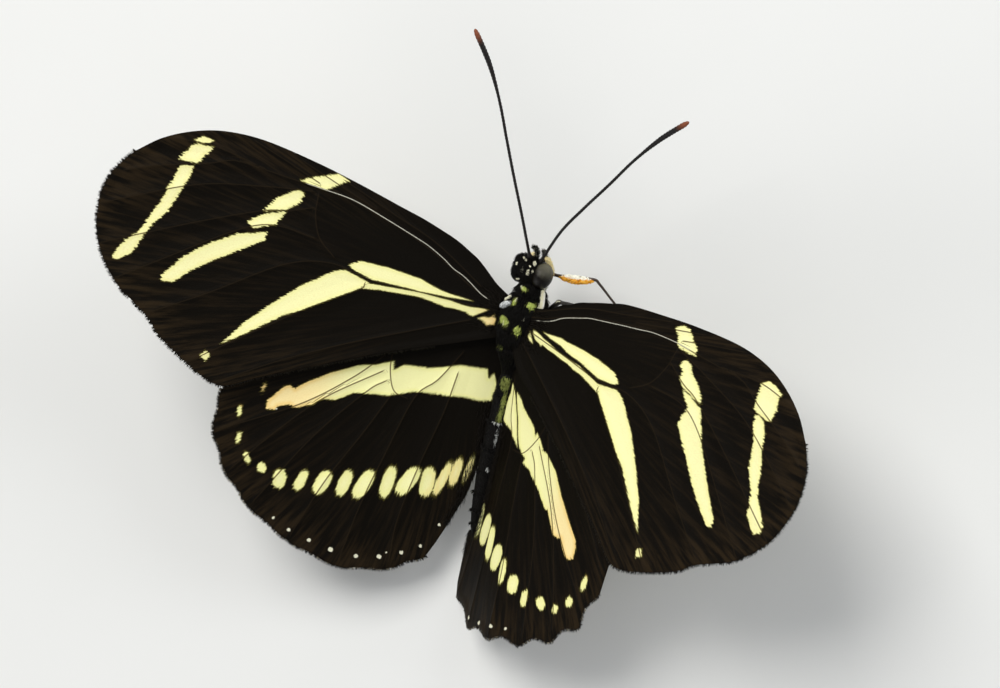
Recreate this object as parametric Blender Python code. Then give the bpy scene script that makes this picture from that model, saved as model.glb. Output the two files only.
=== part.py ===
"""A zebra longwing butterfly at life size, standing with its wings spread.

Metres, +Z up, the body's axis along +Y with the head at +Y. The origin is under the middle
of the whole model, at the level its feet stand on. Sizes below are in millimetres and
degrees; MM turns millimetres into the metres of the meshes.
"""

import math

import bpy
import bmesh
from mathutils import Matrix, Vector
from mathutils.geometry import delaunay_2d_cdt, intersect_point_line

MM = 0.001
GAP = 0.3

# The butterfly's placing: the body's line lies this far from the model's middle.
BODY_X = 1.7
BODY_Y = 2.57

# Body: the thorax's centre above the floor, and the nose-up angle of the whole body.
THORAX_Z = 7.8
BODY_PITCH = 11.0
THORAX = (
    (4.1, 0.80, 0.85),
    (3.4, 1.25, 1.35),
    (2.2, 1.85, 2.00),
    (0.9, 2.25, 2.35),
    (-0.6, 2.30, 2.40),
    (-2.2, 2.05, 2.15),
    (-3.6, 1.55, 1.65),
    (-4.7, 1.05, 1.10),
    (-5.3, 0.70, 0.75),
)
ABDOMEN = (
    (-5.6, 0.70, 0.75),
    (-6.6, 0.95, 1.00),
    (-9.0, 1.12, 1.15),
    (-13.0, 1.15, 1.20),
    (-17.0, 1.02, 1.08),
    (-20.0, 0.78, 0.82),
    (-21.9, 0.48, 0.50),
    (-22.7, 0.22, 0.24),
)
ABDOMEN_RINGS = 8
RING_DIP = 0.06

# Head: its centre on the body's axis, turned to the right with the wings. Skull and eyes
# are also rolled, so that the right eye stands higher than the left.
HEAD_AT = 5.24
HEAD_YAW = -7.0
SKULL_ROLL = -20.0
HEAD_SIDE = 0.98
HEAD = (
    (-0.82, 0.70, 0.70),
    (-0.50, 1.05, 1.00),
    (0.00, 1.25, 1.15),
    (0.50, 1.15, 1.12),
    (0.95, 0.88, 0.95),
    (1.25, 0.68, 0.75),
)
EYE = (1.15, 1.30, 1.30)

# Antennae: points on the right one, from the head's centre, and its thickness.
ANTENNA = (
    (0.62, 1.15, 0.87),
    (2.26, 4.85, 3.61),
    (3.99, 7.94, 5.12),
    (5.82, 11.11, 6.33),
    (7.59, 14.26, 7.61),
    (9.62, 17.23, 8.87),
    (12.0, 19.88, 10.25),
)
SHAFT = 0.25
CLUB = 0.42

# Wing frame: where the wings' midline stands, and how far it is turned from the body.
WING_X = -1.29
WING_Y = 0.16
WING_Z = 9.3
WING_YAW = -7.0
HALF_THICK = 0.25
RIDGE = 0.10
RIDGE_HALF = 0.32
MARGIN_STEP = 2.0
VEIN_STEP = 1.9
VEIN_INSET = 0.45
GRID_STEP = 2.7
GRID_COLUMNS = 24
GRID_START = -3.0
GRID_INSET = 1.0
GRID_APART = 1.15
ROW_HEIGHT = 0.87

# How close a wing may come to the body beyond the gap, and how finely that is tried.
BODY_SPARE = 0.10
ROOT_START = 9.0
ROOT_STEP = 0.02
FORE_LIMIT = -2.0

FORE_HINGE = (2.0, -2.0)
FORE_RISE = 0.42
FORE_NOSE = 0.05
FORE_SWEEP = 1.07
HIND_HINGE = (2.0, -3.0)
HIND_DROP = -1.45
HIND_RISE = 0.46
HIND_NOSE = 0.12
HIND_SWEEP = -0.72
FOLD_RISE = 1.16
FOLD_SOFT = 0.9

# The front edges start apart, because the body is turned between the wings.
LEFT_FRONT = ((2.4, 2.3), (4.5, 3.9), (6.5, 4.8), (9.2, 5.4))
RIGHT_FRONT = ((4.6, 2.3), (6.6, 3.6), (8.7, 4.6), (10.9, 5.4))
FORE_EDGE = (
    (13.0, 6.0), (17.0, 6.5), (21.5, 6.9), (26.6, 7.0),
    (30.2, 6.4), (33.0, 5.2), (35.5, 3.4), (37.4, 1.2), (38.6, -1.2), (39.0, -3.6),
    (38.7, -6.0), (37.9, -8.3), (36.4, -10.4), (34.6, -12.0), (32.7, -13.0), (31.0, -13.9),
    (29.6, -15.1), (27.6, -16.1), (25.2, -17.1), (23.5, -17.6), (22.1, -17.4),
    (19.4, -15.3), (16.4, -13.2), (12.9, -10.7), (9.4, -8.3), (6.4, -6.4), (3.6, -4.7),
)
FORE_ROOT = (1.5, 0.6, -0.3, -1.2, -2.1)
FORE_VEINS = (
    ((3.3, 1.6), (8.5, 3.9), (13.5, 5.1), (18.4, 6.3)),
    ((3.0, 0.7), (7.4, 2.7), (13.8, 4.2), (19.9, 4.6), (25.8, 4.5), (30.5, 4.2), (34.3, 3.7)),
    ((14.8, 4.8), (18.5, 5.6), (22.6, 6.5)),
    ((20.6, 5.1), (24.0, 5.9), (27.4, 6.6)),
    ((27.6, 4.0), (31.7, 2.2), (34.8, 0.8), (37.6, -0.9)),
    ((20.9, 4.1), (25.0, 2.8), (31.0, 0.4), (38.3, -4.6)),
    ((20.3, 2.6), (24.6, 0.5), (30.0, -3.2), (37.4, -8.6)),
    ((19.2, -0.2), (23.6, -0.9), (27.2, -3.3), (31.2, -7.4), (34.9, -11.2)),
    ((20.3, 4.0), (19.9, 2.0), (18.8, 0.0), (17.0, -1.2)),
    ((3.2, -0.7), (8.0, -1.3), (13.0, -1.9), (17.0, -1.9), (21.0, -3.8), (26.5, -9.2), (31.0, -13.3)),
    ((13.4, -2.8), (18.1, -7.6), (23.7, -13.8), (26.3, -16.2)),
    ((3.2, -2.0), (8.0, -5.3), (13.5, -9.2), (18.5, -13.2), (22.2, -16.6)),
)

# Outer edge: where the veins end. The left wing swells between them, the right one bays in.
LEFT_TIPS = (
    (22.3, -18.6), (21.7, -22.8), (19.3, -26.3), (16.2, -28.6), (11.7, -30.3), (6.6, -30.8),
    (2.0, -28.9), (-0.8, -26.2),
)
RIGHT_TIPS = (
    (22.4, -20.3), (21.6, -24.4), (19.1, -27.1), (15.7, -29.1), (11.7, -30.2), (6.6, -30.8),
    (2.0, -28.9),
)
LEFT_BAY = 0.45
RIGHT_BAY = 0.60
LEFT_SWELL = 0.10
SCALLOP_STEP = 1.3
HIND_MIDDLE = (10.0, -15.0)
HIND_EDGE = (
    (3.2, -1.6), (6.5, -2.0), (10.5, -3.2), (14.5, -5.4), (18.0, -8.6), (20.4, -12.0),
    (21.8, -15.4),
)
HIND_ROOT = (-2.2, -3.6, -5.2, -7.2, -9.4, -11.8, -14.2, -16.6, -19.0, -20.8, -22.0, -22.8)
LEFT_FREE = (-24.5, -23.6)
RIGHT_FREE = (-27.6, -25.2, -23.2)
LEFT_INNER = ((-26.2, -0.8), (-24.5, -1.2), (-21.8, -1.7), (-18.6, -2.2), (0.0, -2.2))
RIGHT_INNER = ((-27.6, 1.5), (-25.2, 1.3), (-23.2, 1.2), (0.0, 1.2))
HIND_VEINS = (
    ((4.0, -2.9), (10.0, -4.6), (15.8, -8.0), (19.6, -12.6), (21.3, -16.6)),
    ((3.0, -3.7), (8.0, -6.9), (13.5, -10.6), (18.3, -14.8), (21.8, -18.4)),
    ((9.6, -8.9), (11.6, -12.3), (15.2, -16.9), (21.2, -22.5)),
    ((9.2, -10.4), (13.3, -15.3), (16.2, -20.2), (18.9, -25.7)),
    ((8.6, -11.2), (9.9, -13.0), (13.0, -19.5), (15.9, -28.0)),
    ((7.7, -12.4), (8.8, -17.0), (10.4, -23.0), (11.6, -29.7)),
    ((3.0, -5.4), (4.2, -9.0), (5.6, -11.6), (6.2, -18.0), (6.6, -24.0), (6.6, -30.2)),
    ((9.0, -8.2), (8.6, -10.0), (7.6, -11.8), (6.2, -12.0)),
    ((2.7, -7.6), (2.6, -12.0), (2.9, -18.0), (2.9, -24.0), (2.2, -28.3)),
)

# Legs: right-hand hip, knee, ankle and the tarsus's points, from the body's line and the floor.
MID_HIP = 0.8
HIND_HIP = -1.6
HIP_X = 1.2
MID_RIGHT = ((3.35, 2.85, 8.3), (5.4, 2.9, 2.9), (6.3, 2.9, 0.95), (7.2, 3.0, 0.22), (8.0, 3.0, 0.19))
MID_LEFT = ((-3.4, 1.2, 7.4), (-4.9, 0.5, 2.6), (-5.6, 0.3, 0.9), (-6.5, 0.1, 0.22), (-7.3, 0.0, 0.19))
HIND_LEG = ((4.2, -4.6, 6.3), (5.4, -9.4, 2.9), (5.8, -11.3, 0.95), (6.1, -12.6, 0.22), (6.3, -13.6, 0.19))
FEMUR = 0.34
TIBIA = 0.26
TARSUS = 0.25
JOINT_STUB = 0.2
HIP_SPARE = 0.12
TROCHANTER = 0.45
FEMUR_SHAPE = (0.8, 0.95, 1.1, 1.0, 0.8, 0.74, 0.7)
TIBIA_SHAPE = (0.92, 0.95, 1.0, 1.1, 1.0, 0.95, 0.92)
FORELEG = ((0.6, 3.15, -1.72), (0.75, 3.35, -2.05), (0.82, 3.8, -2.35), (0.78, 4.4, -2.45))

# Mouthparts, from the head's centre: the proboscis reaches to the right and then down.
PALP = ((0.44, 1.56, -0.30), (0.47, 1.90, -0.10), (0.53, 2.10, 0.40), (0.60, 2.22, 1.05))
PROBOSCIS = (
    (0.0, 0.42, -1.46),
    (0.08, 0.44, -1.72),
    (0.62, 0.42, -1.95),
    (1.75, 0.38, -1.95),
    (3.8, 1.0, -1.95),
    (5.6, 1.55, -1.98),
    (6.15, 1.3, -2.6),
    (7.45, 0.1, -5.0),
    (8.8, -1.1, -7.4),
)
PROBOSCIS_R = 0.25
POLLEN_R = 0.42
POLLEN_SPAN = (2.1, 5.0)
POLLEN_EASE = 0.5
POLLEN_LOWEST = -2.2

COLOURS = {
    "black_scales": (0.018, 0.014, 0.011, 0.70),
    "abdomen_black": (0.020, 0.017, 0.014, 0.65),
    "eye_gloss": (0.035, 0.026, 0.020, 0.15),
    "antenna_black": (0.020, 0.016, 0.014, 0.50),
    "wing_black": (0.024, 0.018, 0.014, 0.60),
    "palp_black": (0.030, 0.025, 0.022, 0.70),
    "proboscis_dark": (0.060, 0.035, 0.020, 0.40),
    "leg_dark": (0.030, 0.022, 0.018, 0.55),
}


def material(name):
    """One Principled material with the colour and roughness named above."""
    made = bpy.data.materials.get(name)
    if made:
        return made
    red, green, blue, roughness = COLOURS[name]
    made = bpy.data.materials.new(name)
    made.use_nodes = True
    shader = made.node_tree.nodes["Principled BSDF"]
    shader.inputs["Base Color"].default_value = (red, green, blue, 1.0)
    shader.inputs["Roughness"].default_value = roughness
    shader.inputs["Metallic"].default_value = 0.0
    return made


def clear_scene():
    """Takes away whatever the scene starts with."""
    for obj in list(bpy.data.objects):
        bpy.data.objects.remove(obj, do_unlink=True)


def collection_of(name):
    """A new collection of the scene."""
    made = bpy.data.collections.new(name)
    bpy.context.scene.collection.children.link(made)
    return made


def empty_at(name, location, rotation, parent):
    """A parent frame at a place in millimetres, turned by degrees."""
    made = bpy.data.objects.new(name, None)
    made.location = Vector(location) * MM
    made.rotation_euler = [math.radians(angle) for angle in rotation]
    made.parent = parent
    made.empty_display_size = 2.0 * MM
    PARTS.objects.link(made)
    return made


def frame_matrix(location, rotation):
    """The same frame as a matrix in millimetres, for working out how parts meet."""
    turn = Matrix.Rotation(math.radians(rotation[2]), 4, "Z")
    tilt = Matrix.Rotation(math.radians(rotation[0]), 4, "X")
    return Matrix.Translation(Vector(location)) @ turn @ tilt


def finish(obj, slot, parent):
    """Gives a new object its material, parent and collection."""
    obj.data.materials.append(material(slot))
    obj.parent = parent
    PARTS.objects.link(obj)
    return obj


def profile(stations, along):
    """Half width and half height at a place along the body, eased between the stations."""
    ordered = sorted(stations)
    if along <= ordered[0][0]:
        return ordered[0][1:]
    for (y0, w0, h0), (y1, w1, h1) in zip(ordered, ordered[1:]):
        if along <= y1:
            part = (along - y0) / (y1 - y0)
            return (w0 + (w1 - w0) * part, h0 + (h1 - h0) * part)
    return ordered[-1][1:]


def soft_profile(stations, along, reach=0.45):
    """The profile averaged over a short reach, so that the stations leave no corners."""
    spread = (-1.0, -0.5, 0.0, 0.5, 1.0)
    taken = [profile(stations, along + reach * step) for step in spread]
    return (sum(w for w, _ in taken) / 5, sum(h for _, h in taken) / 5)


def loft(name, rings, slot, parent):
    """A closed body through rings of points, its two ends filled flat."""
    mesh = bpy.data.meshes.new(name)
    count = len(rings[0])
    points = [Vector(p) * MM for ring in rings for p in ring]
    faces = []
    for r in range(len(rings) - 1):
        for s in range(count):
            a = r * count + s
            b = r * count + (s + 1) % count
            faces.append((a, b, b + count, a + count))
    faces.append(tuple(reversed(range(count))))
    faces.append(tuple(range(len(points) - count, len(points))))
    mesh.from_pydata(points, [], faces)
    bm = bmesh.new()
    bm.from_mesh(mesh)
    bmesh.ops.recalc_face_normals(bm, faces=bm.faces)
    bm.to_mesh(mesh)
    bm.free()
    mesh.shade_smooth()
    mesh.set_sharp_from_angle(angle=math.radians(50))
    return finish(bpy.data.objects.new(name, mesh), slot, parent)


def ring(along, width, height, sides, side_limit=math.inf):
    """An oval ring across the body's axis; a side limit cuts it flat for the eyes."""
    made = []
    for s in range(sides):
        turn = 2 * math.pi * s / sides
        x = max(-side_limit, min(side_limit, width * math.cos(turn)))
        made.append((x, along, height * math.sin(turn)))
    return made


def smooth_line(points, step):
    """A Catmull-Rom curve through the points, with a point about every step."""
    line = [Vector(p) for p in points]
    ends = [2 * line[0] - line[1]] + line + [2 * line[-1] - line[-2]]
    made = []
    for i in range(1, len(ends) - 2):
        a, b, c, d = ends[i - 1:i + 3]
        pieces = max(1, round((c - b).length / step))
        for k in range(pieces):
            t = k / pieces
            made.append(0.5 * (2 * b + (c - a) * t + (2 * a - 5 * b + 4 * c - d) * t * t
                               + (3 * b - a - 3 * c + d) * t * t * t))
    made.append(line[-1])
    return made


def tube(name, points, radii, slot, parent):
    """A round tube through the points: a curve with a bevel, filled caps and its radii."""
    curve = bpy.data.curves.new(name, "CURVE")
    curve.dimensions = "3D"
    curve.bevel_depth = MM
    curve.bevel_resolution = 2
    curve.use_fill_caps = True
    spline = curve.splines.new("POLY")
    spline.points.add(len(points) - 1)
    for point, place, radius in zip(spline.points, points, radii):
        point.co = (*(Vector(place) * MM), 1.0)
        point.radius = radius
    return finish(bpy.data.objects.new(name, curve), slot, parent)


def to_mesh(obj):
    """Turns a curve object into a mesh object of the same name and place, caps welded."""
    bpy.context.view_layer.update()
    graph = bpy.context.evaluated_depsgraph_get()
    mesh = bpy.data.meshes.new_from_object(obj.evaluated_get(graph))
    bm = bmesh.new()
    bm.from_mesh(mesh)
    bmesh.ops.remove_doubles(bm, verts=bm.verts, dist=0.00001)
    bm.to_mesh(mesh)
    bm.free()
    made = bpy.data.objects.new("welded", mesh)
    made.parent = obj.parent
    made.matrix_world = obj.matrix_world.copy()
    name = obj.name
    PARTS.objects.link(made)
    bpy.data.objects.remove(obj, do_unlink=True)
    made.name = name
    return made


def thorax(parent):
    """The thorax: oval rings, widest under the forewings' roots."""
    first = THORAX[-1][0]
    last = THORAX[0][0]
    places = [first + (last - first) * i / 15 for i in range(16)]
    rings = [ring(y, *soft_profile(THORAX, y), 20) for y in places]
    return loft("thorax", rings, "black_scales", parent)


def abdomen(parent):
    """The abdomen: a long taper with a shallow dip between its rings."""
    first = ABDOMEN[-1][0]
    last = ABDOMEN[0][0]
    rings = []
    count = ABDOMEN_RINGS * 3
    for i in range(count + 1):
        y = first + (last - first) * i / count
        width, height = soft_profile(ABDOMEN, y)
        dip = RING_DIP if i % 3 == 0 and 0 < i < count else 0.0
        rings.append(ring(y, width - dip, height - dip, 16))
    return loft("abdomen", rings, "abdomen_black", parent)


def head(parent):
    """The head between the eyes, flat at the sides where they sit."""
    places = [-0.82, -0.6, -0.35, 0.0, 0.35, 0.7, 1.0, 1.25]
    rings = [ring(y, *soft_profile(HEAD, y, 0.12), 20, HEAD_SIDE) for y in places]
    return loft("head", rings, "black_scales", parent)


def eye(name, side, parent):
    """One big round eye: half an ellipsoid with its flat face to the head."""
    bm = bmesh.new()
    bmesh.ops.create_uvsphere(bm, u_segments=18, v_segments=12, radius=1.0)
    bmesh.ops.rotate(bm, verts=bm.verts, matrix=Matrix.Rotation(math.radians(90), 3, "Y"))
    bmesh.ops.scale(bm, verts=bm.verts, vec=Vector(EYE) * MM)
    cut = bmesh.ops.bisect_plane(
        bm, geom=bm.verts[:] + bm.edges[:] + bm.faces[:], plane_co=(0, 0, 0),
        plane_no=(-side, 0, 0), clear_outer=True, dist=0.00001)
    rim = [e for e in cut["geom_cut"] if isinstance(e, bmesh.types.BMEdge)]
    bmesh.ops.holes_fill(bm, edges=rim, sides=0)
    bmesh.ops.recalc_face_normals(bm, faces=bm.faces)
    mesh = bpy.data.meshes.new(name)
    bm.to_mesh(mesh)
    bm.free()
    mesh.shade_smooth()
    mesh.set_sharp_from_angle(angle=math.radians(50))
    made = finish(bpy.data.objects.new(name, mesh), "eye_gloss", parent)
    made.location = (side * (HEAD_SIDE + GAP) * MM, 0.0, 0.0)
    return made


def antenna(name, side, parent):
    """One antenna: a thin shaft that thickens into its club."""
    line = smooth_line([(side * x, y, z) for x, y, z in ANTENNA], 1.6)
    radii = []
    for i in range(len(line)):
        along = i / (len(line) - 1)
        swell = max(0.0, min(1.0, (along - 0.72) / 0.2))
        tip = max(0.0, (along - 0.96) / 0.04)
        radii.append((SHAFT + (CLUB - SHAFT) * swell) * (1 - 0.45 * tip))
    return tube(name, line, radii, "antenna_black", parent)


def palp(name, side, parent):
    """One palp, rising in front of the face."""
    line = smooth_line([(side * x, y, z) for x, y, z in PALP], 0.3)
    radii = [0.28 - 0.14 * i / (len(line) - 1) for i in range(len(line))]
    return tube(name, line, radii, "palp_black", parent)


def proboscis(parent):
    """The unrolled proboscis, thicker where it carries its load of pollen."""
    line = smooth_line(PROBOSCIS, 0.55)
    radii = []
    for i in range(len(line)):
        x = line[i].x
        reach = min(x - POLLEN_SPAN[0], POLLEN_SPAN[1] - x) / POLLEN_EASE
        swell = max(0.0, min(1.0, reach)) if line[i].z > POLLEN_LOWEST else 0.0
        radii.append(PROBOSCIS_R + (POLLEN_R - PROBOSCIS_R) * swell)
    return tube("proboscis", line, radii, "proboscis_dark", parent)


def leg_nodes(name, hip_y, points, floor_frame):
    """One walking leg: femur, tibia and tarsus, cut square to each other at the joints."""
    knee, ankle = Vector(points[0]), Vector(points[1])
    side = 1 if knee.x > 0 else -1
    width, height = soft_profile(THORAX, hip_y)
    under = -height * math.sqrt(1 - (HIP_X / width) ** 2)
    skin = BODY_IN_ROOT @ Vector((side * HIP_X, hip_y, under))
    outward = Vector((side * HIP_X / width ** 2, 0.0, under / height ** 2)).normalized()
    hip = skin + outward * (GAP + HIP_SPARE)
    trochanter = hip + outward * TROCHANTER
    upper = (knee - trochanter).normalized()
    lower = (ankle - knee).normalized()
    bend = (upper + lower).normalized()
    foot = (Vector(points[2]) - ankle).normalized()
    heel = (lower + foot).normalized()
    half = GAP / 2
    stub = half + JOINT_STUB
    femur_line = [hip, trochanter, trochanter.lerp(knee, 0.3), trochanter.lerp(knee, 0.6),
                  knee - upper * 0.8, knee - bend * stub, knee - bend * half]
    tube(name + "_femur", femur_line, [FEMUR * k for k in FEMUR_SHAPE], "leg_dark", floor_frame)
    tibia_line = [knee + bend * half, knee + bend * stub, knee + lower * 0.8, knee.lerp(ankle, 0.5),
                  ankle - lower * 0.6, ankle - heel * stub, ankle - heel * half]
    tube(name + "_tibia", tibia_line, [TIBIA * k for k in TIBIA_SHAPE], "leg_dark", floor_frame)
    tarsus_line = [ankle + heel * half, ankle + heel * stub, ankle + foot * 0.7]
    tarsus_line += smooth_line(points[2:], 0.5)
    made = tube(name + "_tarsus", tarsus_line, [TARSUS] * len(tarsus_line), "leg_dark", floor_frame)
    flatten_foot(to_mesh(made))


def flatten_foot(obj):
    """Cuts a tarsus level with the floor, so that the foot rests on a small flat."""
    bm = bmesh.new()
    bm.from_mesh(obj.data)
    inverse = obj.matrix_world.inverted()
    level = inverse @ Vector((0.0, 0.0, 0.0))
    down = inverse.to_3x3() @ Vector((0.0, 0.0, -1.0))
    cut = bmesh.ops.bisect_plane(
        bm, geom=bm.verts[:] + bm.edges[:] + bm.faces[:], plane_co=level,
        plane_no=down, clear_outer=True, dist=0.000002)
    rim = [e for e in cut["geom_cut"] if isinstance(e, bmesh.types.BMEdge)]
    bmesh.ops.holes_fill(bm, edges=rim, sides=0)
    bmesh.ops.triangulate(bm, faces=bm.faces)
    bmesh.ops.recalc_face_normals(bm, faces=bm.faces)
    bm.to_mesh(obj.data)
    bm.free()


def foreleg(name, side, parent):
    """One of the small brush-like forelegs, held up under the neck."""
    line = smooth_line([(side * x, y, z) for x, y, z in FORELEG], 0.35)
    radii = [0.28 - 0.06 * i / (len(line) - 1) for i in range(len(line))]
    return tube(name, line, radii, "leg_dark", parent)


def fore_height(x, y, side):
    """Height of the forewing's middle sheet over the wing frame, alike on both sides."""
    return FORE_RISE * (x - FORE_HINGE[0]) + FORE_NOSE * y


def hind_height(x, y, side):
    """Height of the hindwing's middle sheet, with the right wing's inner part folded down."""
    base = HIND_DROP + HIND_RISE * (x - HIND_HINGE[0]) + HIND_NOSE * (y - HIND_HINGE[1])
    if side < 0:
        return base
    return base - (FOLD_RISE * fold_scale() - HIND_RISE) * fold_reach(x, y)


def fold_scale():
    """How much the folded part narrows in plan."""
    return math.sqrt(1 + HIND_RISE ** 2) / math.sqrt(1 + FOLD_RISE ** 2)


def fold_reach(x, y):
    """How far inside the fold line a point lies, softened at the line."""
    line = 2.2 + 5.8 * (HIND_HINGE[1] - y) / 17
    return FOLD_SOFT * math.log(1 + math.exp((line - x) / FOLD_SOFT))


def fore_place(x, y, side):
    """A forewing point of the flat design, swept and lifted into the wing frame."""
    return placed(x, y, side, FORE_HINGE, FORE_SWEEP * side, fore_height)


def hind_place(x, y, side):
    """The same for a hindwing point."""
    if side < 0:
        return placed(x, y, side, HIND_HINGE, HIND_SWEEP * side, hind_height)
    angle = math.radians(HIND_SWEEP * side)
    sx, sy = swept(x, y, HIND_HINGE, angle)
    height = hind_height(sx, sy, side)
    across = sx + (1 - fold_scale()) * fold_reach(sx, sy)
    return Vector((side * across, sy, height))


def swept(x, y, hinge, angle):
    """A plan point turned about the wing's hinge."""
    dx = x - hinge[0]
    dy = y - hinge[1]
    cos, sin = math.cos(angle), math.sin(angle)
    return (hinge[0] + dx * cos - dy * sin, hinge[1] + dx * sin + dy * cos)


def placed(x, y, side, hinge, sweep, height):
    """A plan point turned by its sweep, mirrored to its side and lifted."""
    sx, sy = swept(x, y, hinge, math.radians(sweep))
    return Vector((side * sx, sy, height(sx, sy, side)))


def clear_of_body(point):
    """Whether a wing-frame point stays a gap off the thorax and abdomen."""
    local = ROOT_TO_BODY @ (WING_IN_ROOT @ point)
    grow = GAP + HALF_THICK + BODY_SPARE
    for stations in (THORAX, ABDOMEN):
        low, high = stations[-1][0], stations[0][0]
        if low - grow < local.y < high + grow:
            width, height = soft_profile(stations, local.y)
            if (local.x / (width + grow)) ** 2 + (local.z / (height + grow)) ** 2 < 1:
                return False
    return True


def root_point(y, side, place, limit):
    """The innermost design point at this y that stays clear of the body."""
    x = ROOT_START
    while x > limit and clear_of_body(place(x - ROOT_STEP, y, side)):
        x -= ROOT_STEP
    return Vector((x, y, 0.0))


def inner_limit(table, y):
    """The hindwing's own inner edge at this y."""
    for (y0, x0), (y1, x1) in zip(table, table[1:]):
        if y <= y1:
            return x0 + (x1 - x0) * (y - y0) / (y1 - y0)
    return table[-1][1]


def fore_outline(side):
    """The forewing's closed outline in plan, root first."""
    root = [root_point(y, side, fore_place, FORE_LIMIT) for y in reversed(FORE_ROOT)]
    front = LEFT_FRONT if side < 0 else RIGHT_FRONT
    edge = smooth_line([(x, y, 0.0) for x, y in front + FORE_EDGE], MARGIN_STEP)
    return root + edge


def scalloped(tips, swell, bay):
    """The hindwing's outer edge between the veins' ends: swollen by a share, with shallow bays."""
    made = []
    for (x0, y0), (x1, y1) in zip(tips, tips[1:]):
        a, b = Vector((x0, y0, 0.0)), Vector((x1, y1, 0.0))
        inward = Vector(((b - a).y, -(b - a).x, 0.0)).normalized()
        if inward.dot(Vector((*HIND_MIDDLE, 0.0)) - a) < 0:
            inward.negate()
        bulge = -swell * (b - a).length
        pieces = max(2, round((b - a).length / SCALLOP_STEP))
        for k in range(pieces):
            t = k / pieces
            bow = bulge * 4 * t * (1 - t)
            dip = bay * math.sin(math.pi * t) ** 2
            made.append(a.lerp(b, t) + inward * (bow + dip))
    made.append(Vector((*tips[-1], 0.0)))
    return made


def hind_outline(side):
    """The hindwing's closed outline in plan: front edge, scalloped edge, then the inner edge."""
    if side < 0:
        table, tips, free = LEFT_INNER, LEFT_TIPS, LEFT_FREE
        outer = scalloped(tips, LEFT_SWELL, LEFT_BAY)
    else:
        table, tips, free = RIGHT_INNER, RIGHT_TIPS, RIGHT_FREE
        outer = scalloped(tips, 0.0, RIGHT_BAY)
    front = smooth_line([(x, y, 0.0) for x, y in HIND_EDGE + tips[:1]], MARGIN_STEP)[:-1]
    inner = []
    for y in free + HIND_ROOT[::-1]:
        limit = inner_limit(table, y)
        inner.append(root_point(y, side, hind_place, limit))
    return front + outer + inner


def inside(point, outline):
    """Whether a plan point lies inside the outline."""
    hit = False
    for a, b in zip(outline, outline[1:] + outline[:1]):
        if (a.y > point.y) != (b.y > point.y):
            if point.x < a.x + (point.y - a.y) / (b.y - a.y) * (b.x - a.x):
                hit = not hit
    return hit


def edge_distance(point, outline):
    """The distance in plan from a point to a closed outline."""
    best = math.inf
    for a, b in zip(outline, outline[1:] + outline[:1]):
        near, part = intersect_point_line(point, a, b)
        near = a if part < 0 else b if part > 1 else near
        best = min(best, (near - point).length)
    return best


def vein_line(design, outline):
    """A vein's centre line, kept inside the outline."""
    line = smooth_line([(x, y, 0.0) for x, y in design], VEIN_STEP)
    return [p for p in line if inside(p, outline) and edge_distance(p, outline) > VEIN_INSET]


def wing_net(outline, veins):
    """Plan points, ridge heights and triangles: outline, veins with flanks, and a loose grid."""
    points, edges, raised = [], [], set()

    def chain(line, closed):
        first = len(points)
        points.extend(line)
        edges.extend((first + i, first + i + 1) for i in range(len(line) - 1))
        if closed:
            edges.append((first + len(line) - 1, first))
        return first

    chain(outline, True)
    for line in veins:
        first = chain(line, False)
        last = first + len(line) - 1
        raised.update(range(first + 1, last))
        for turn in (-1, 1):
            flank = []
            for before, here, after in zip(line, line[1:], line[2:]):
                along = (after - before).normalized()
                flank.append(here + turn * RIDGE_HALF * Vector((-along.y, along.x, 0.0)))
            start = chain(flank, False)
            edges.append((first, start))
            edges.append((start + len(flank) - 1, last))
    fixed = list(points)
    low = min(p.y for p in outline)
    pitch = GRID_STEP * ROW_HEIGHT
    rows = int((max(p.y for p in outline) - low) / pitch) + 1
    for row in range(rows):
        for col in range(GRID_COLUMNS):
            across = GRID_START + (col + 0.5 * (row % 2)) * GRID_STEP
            spot = Vector((across, low + row * pitch, 0.0))
            if inside(spot, outline) and edge_distance(spot, outline) > GRID_INSET:
                if min((spot - p).length for p in fixed) > GRID_APART:
                    points.append(spot)
    made = delaunay_2d_cdt([p.to_2d() for p in points], edges, [], 1, 0.01)
    out, tris, origins = made[0], made[2], made[3]
    heights = [RIDGE if raised.intersection(origin) else 0.0 for origin in origins]
    return out, heights, tris


def wing(name, side, outline, design, place, parent):
    """One wing: a thin sheet with its veins as ridges, the same net above and below."""
    veins = [vein_line(line, outline) for line in design]
    flat, heights, tris = wing_net(outline, [v for v in veins if len(v) > 3])
    top, bottom = [], []
    for spot, height in zip(flat, heights):
        here = place(spot.x, spot.y, side)
        east = place(spot.x + 0.05, spot.y, side) - here
        north = place(spot.x, spot.y + 0.05, side) - here
        normal = east.cross(north).normalized() * side
        top.append(here + normal * (HALF_THICK + height))
        bottom.append(here - normal * (HALF_THICK + height))
    count = len(top)
    faces = [tuple(t) for t in tris]
    faces += [tuple(count + i for i in reversed(t)) for t in tris]
    once = {}
    for t in tris:
        for a, b in zip(t, t[1:] + t[:1]):
            once[(a, b)] = (b, a) not in once and once.get((a, b), True)
            if (b, a) in once:
                once[(b, a)] = False
    for (a, b), alone in once.items():
        if alone:
            faces.append((b, a, count + a))
            faces.append((b, count + a, count + b))
    mesh = bpy.data.meshes.new(name)
    mesh.from_pydata([p * MM for p in top + bottom], [], faces)
    bm = bmesh.new()
    bm.from_mesh(mesh)
    bmesh.ops.recalc_face_normals(bm, faces=bm.faces)
    bm.to_mesh(mesh)
    bm.free()
    mesh.shade_smooth()
    mesh.set_sharp_from_angle(angle=math.radians(40))
    return finish(bpy.data.objects.new(name, mesh), "wing_black", parent)


clear_scene()
PARTS = collection_of("zebra_longwing")

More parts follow.
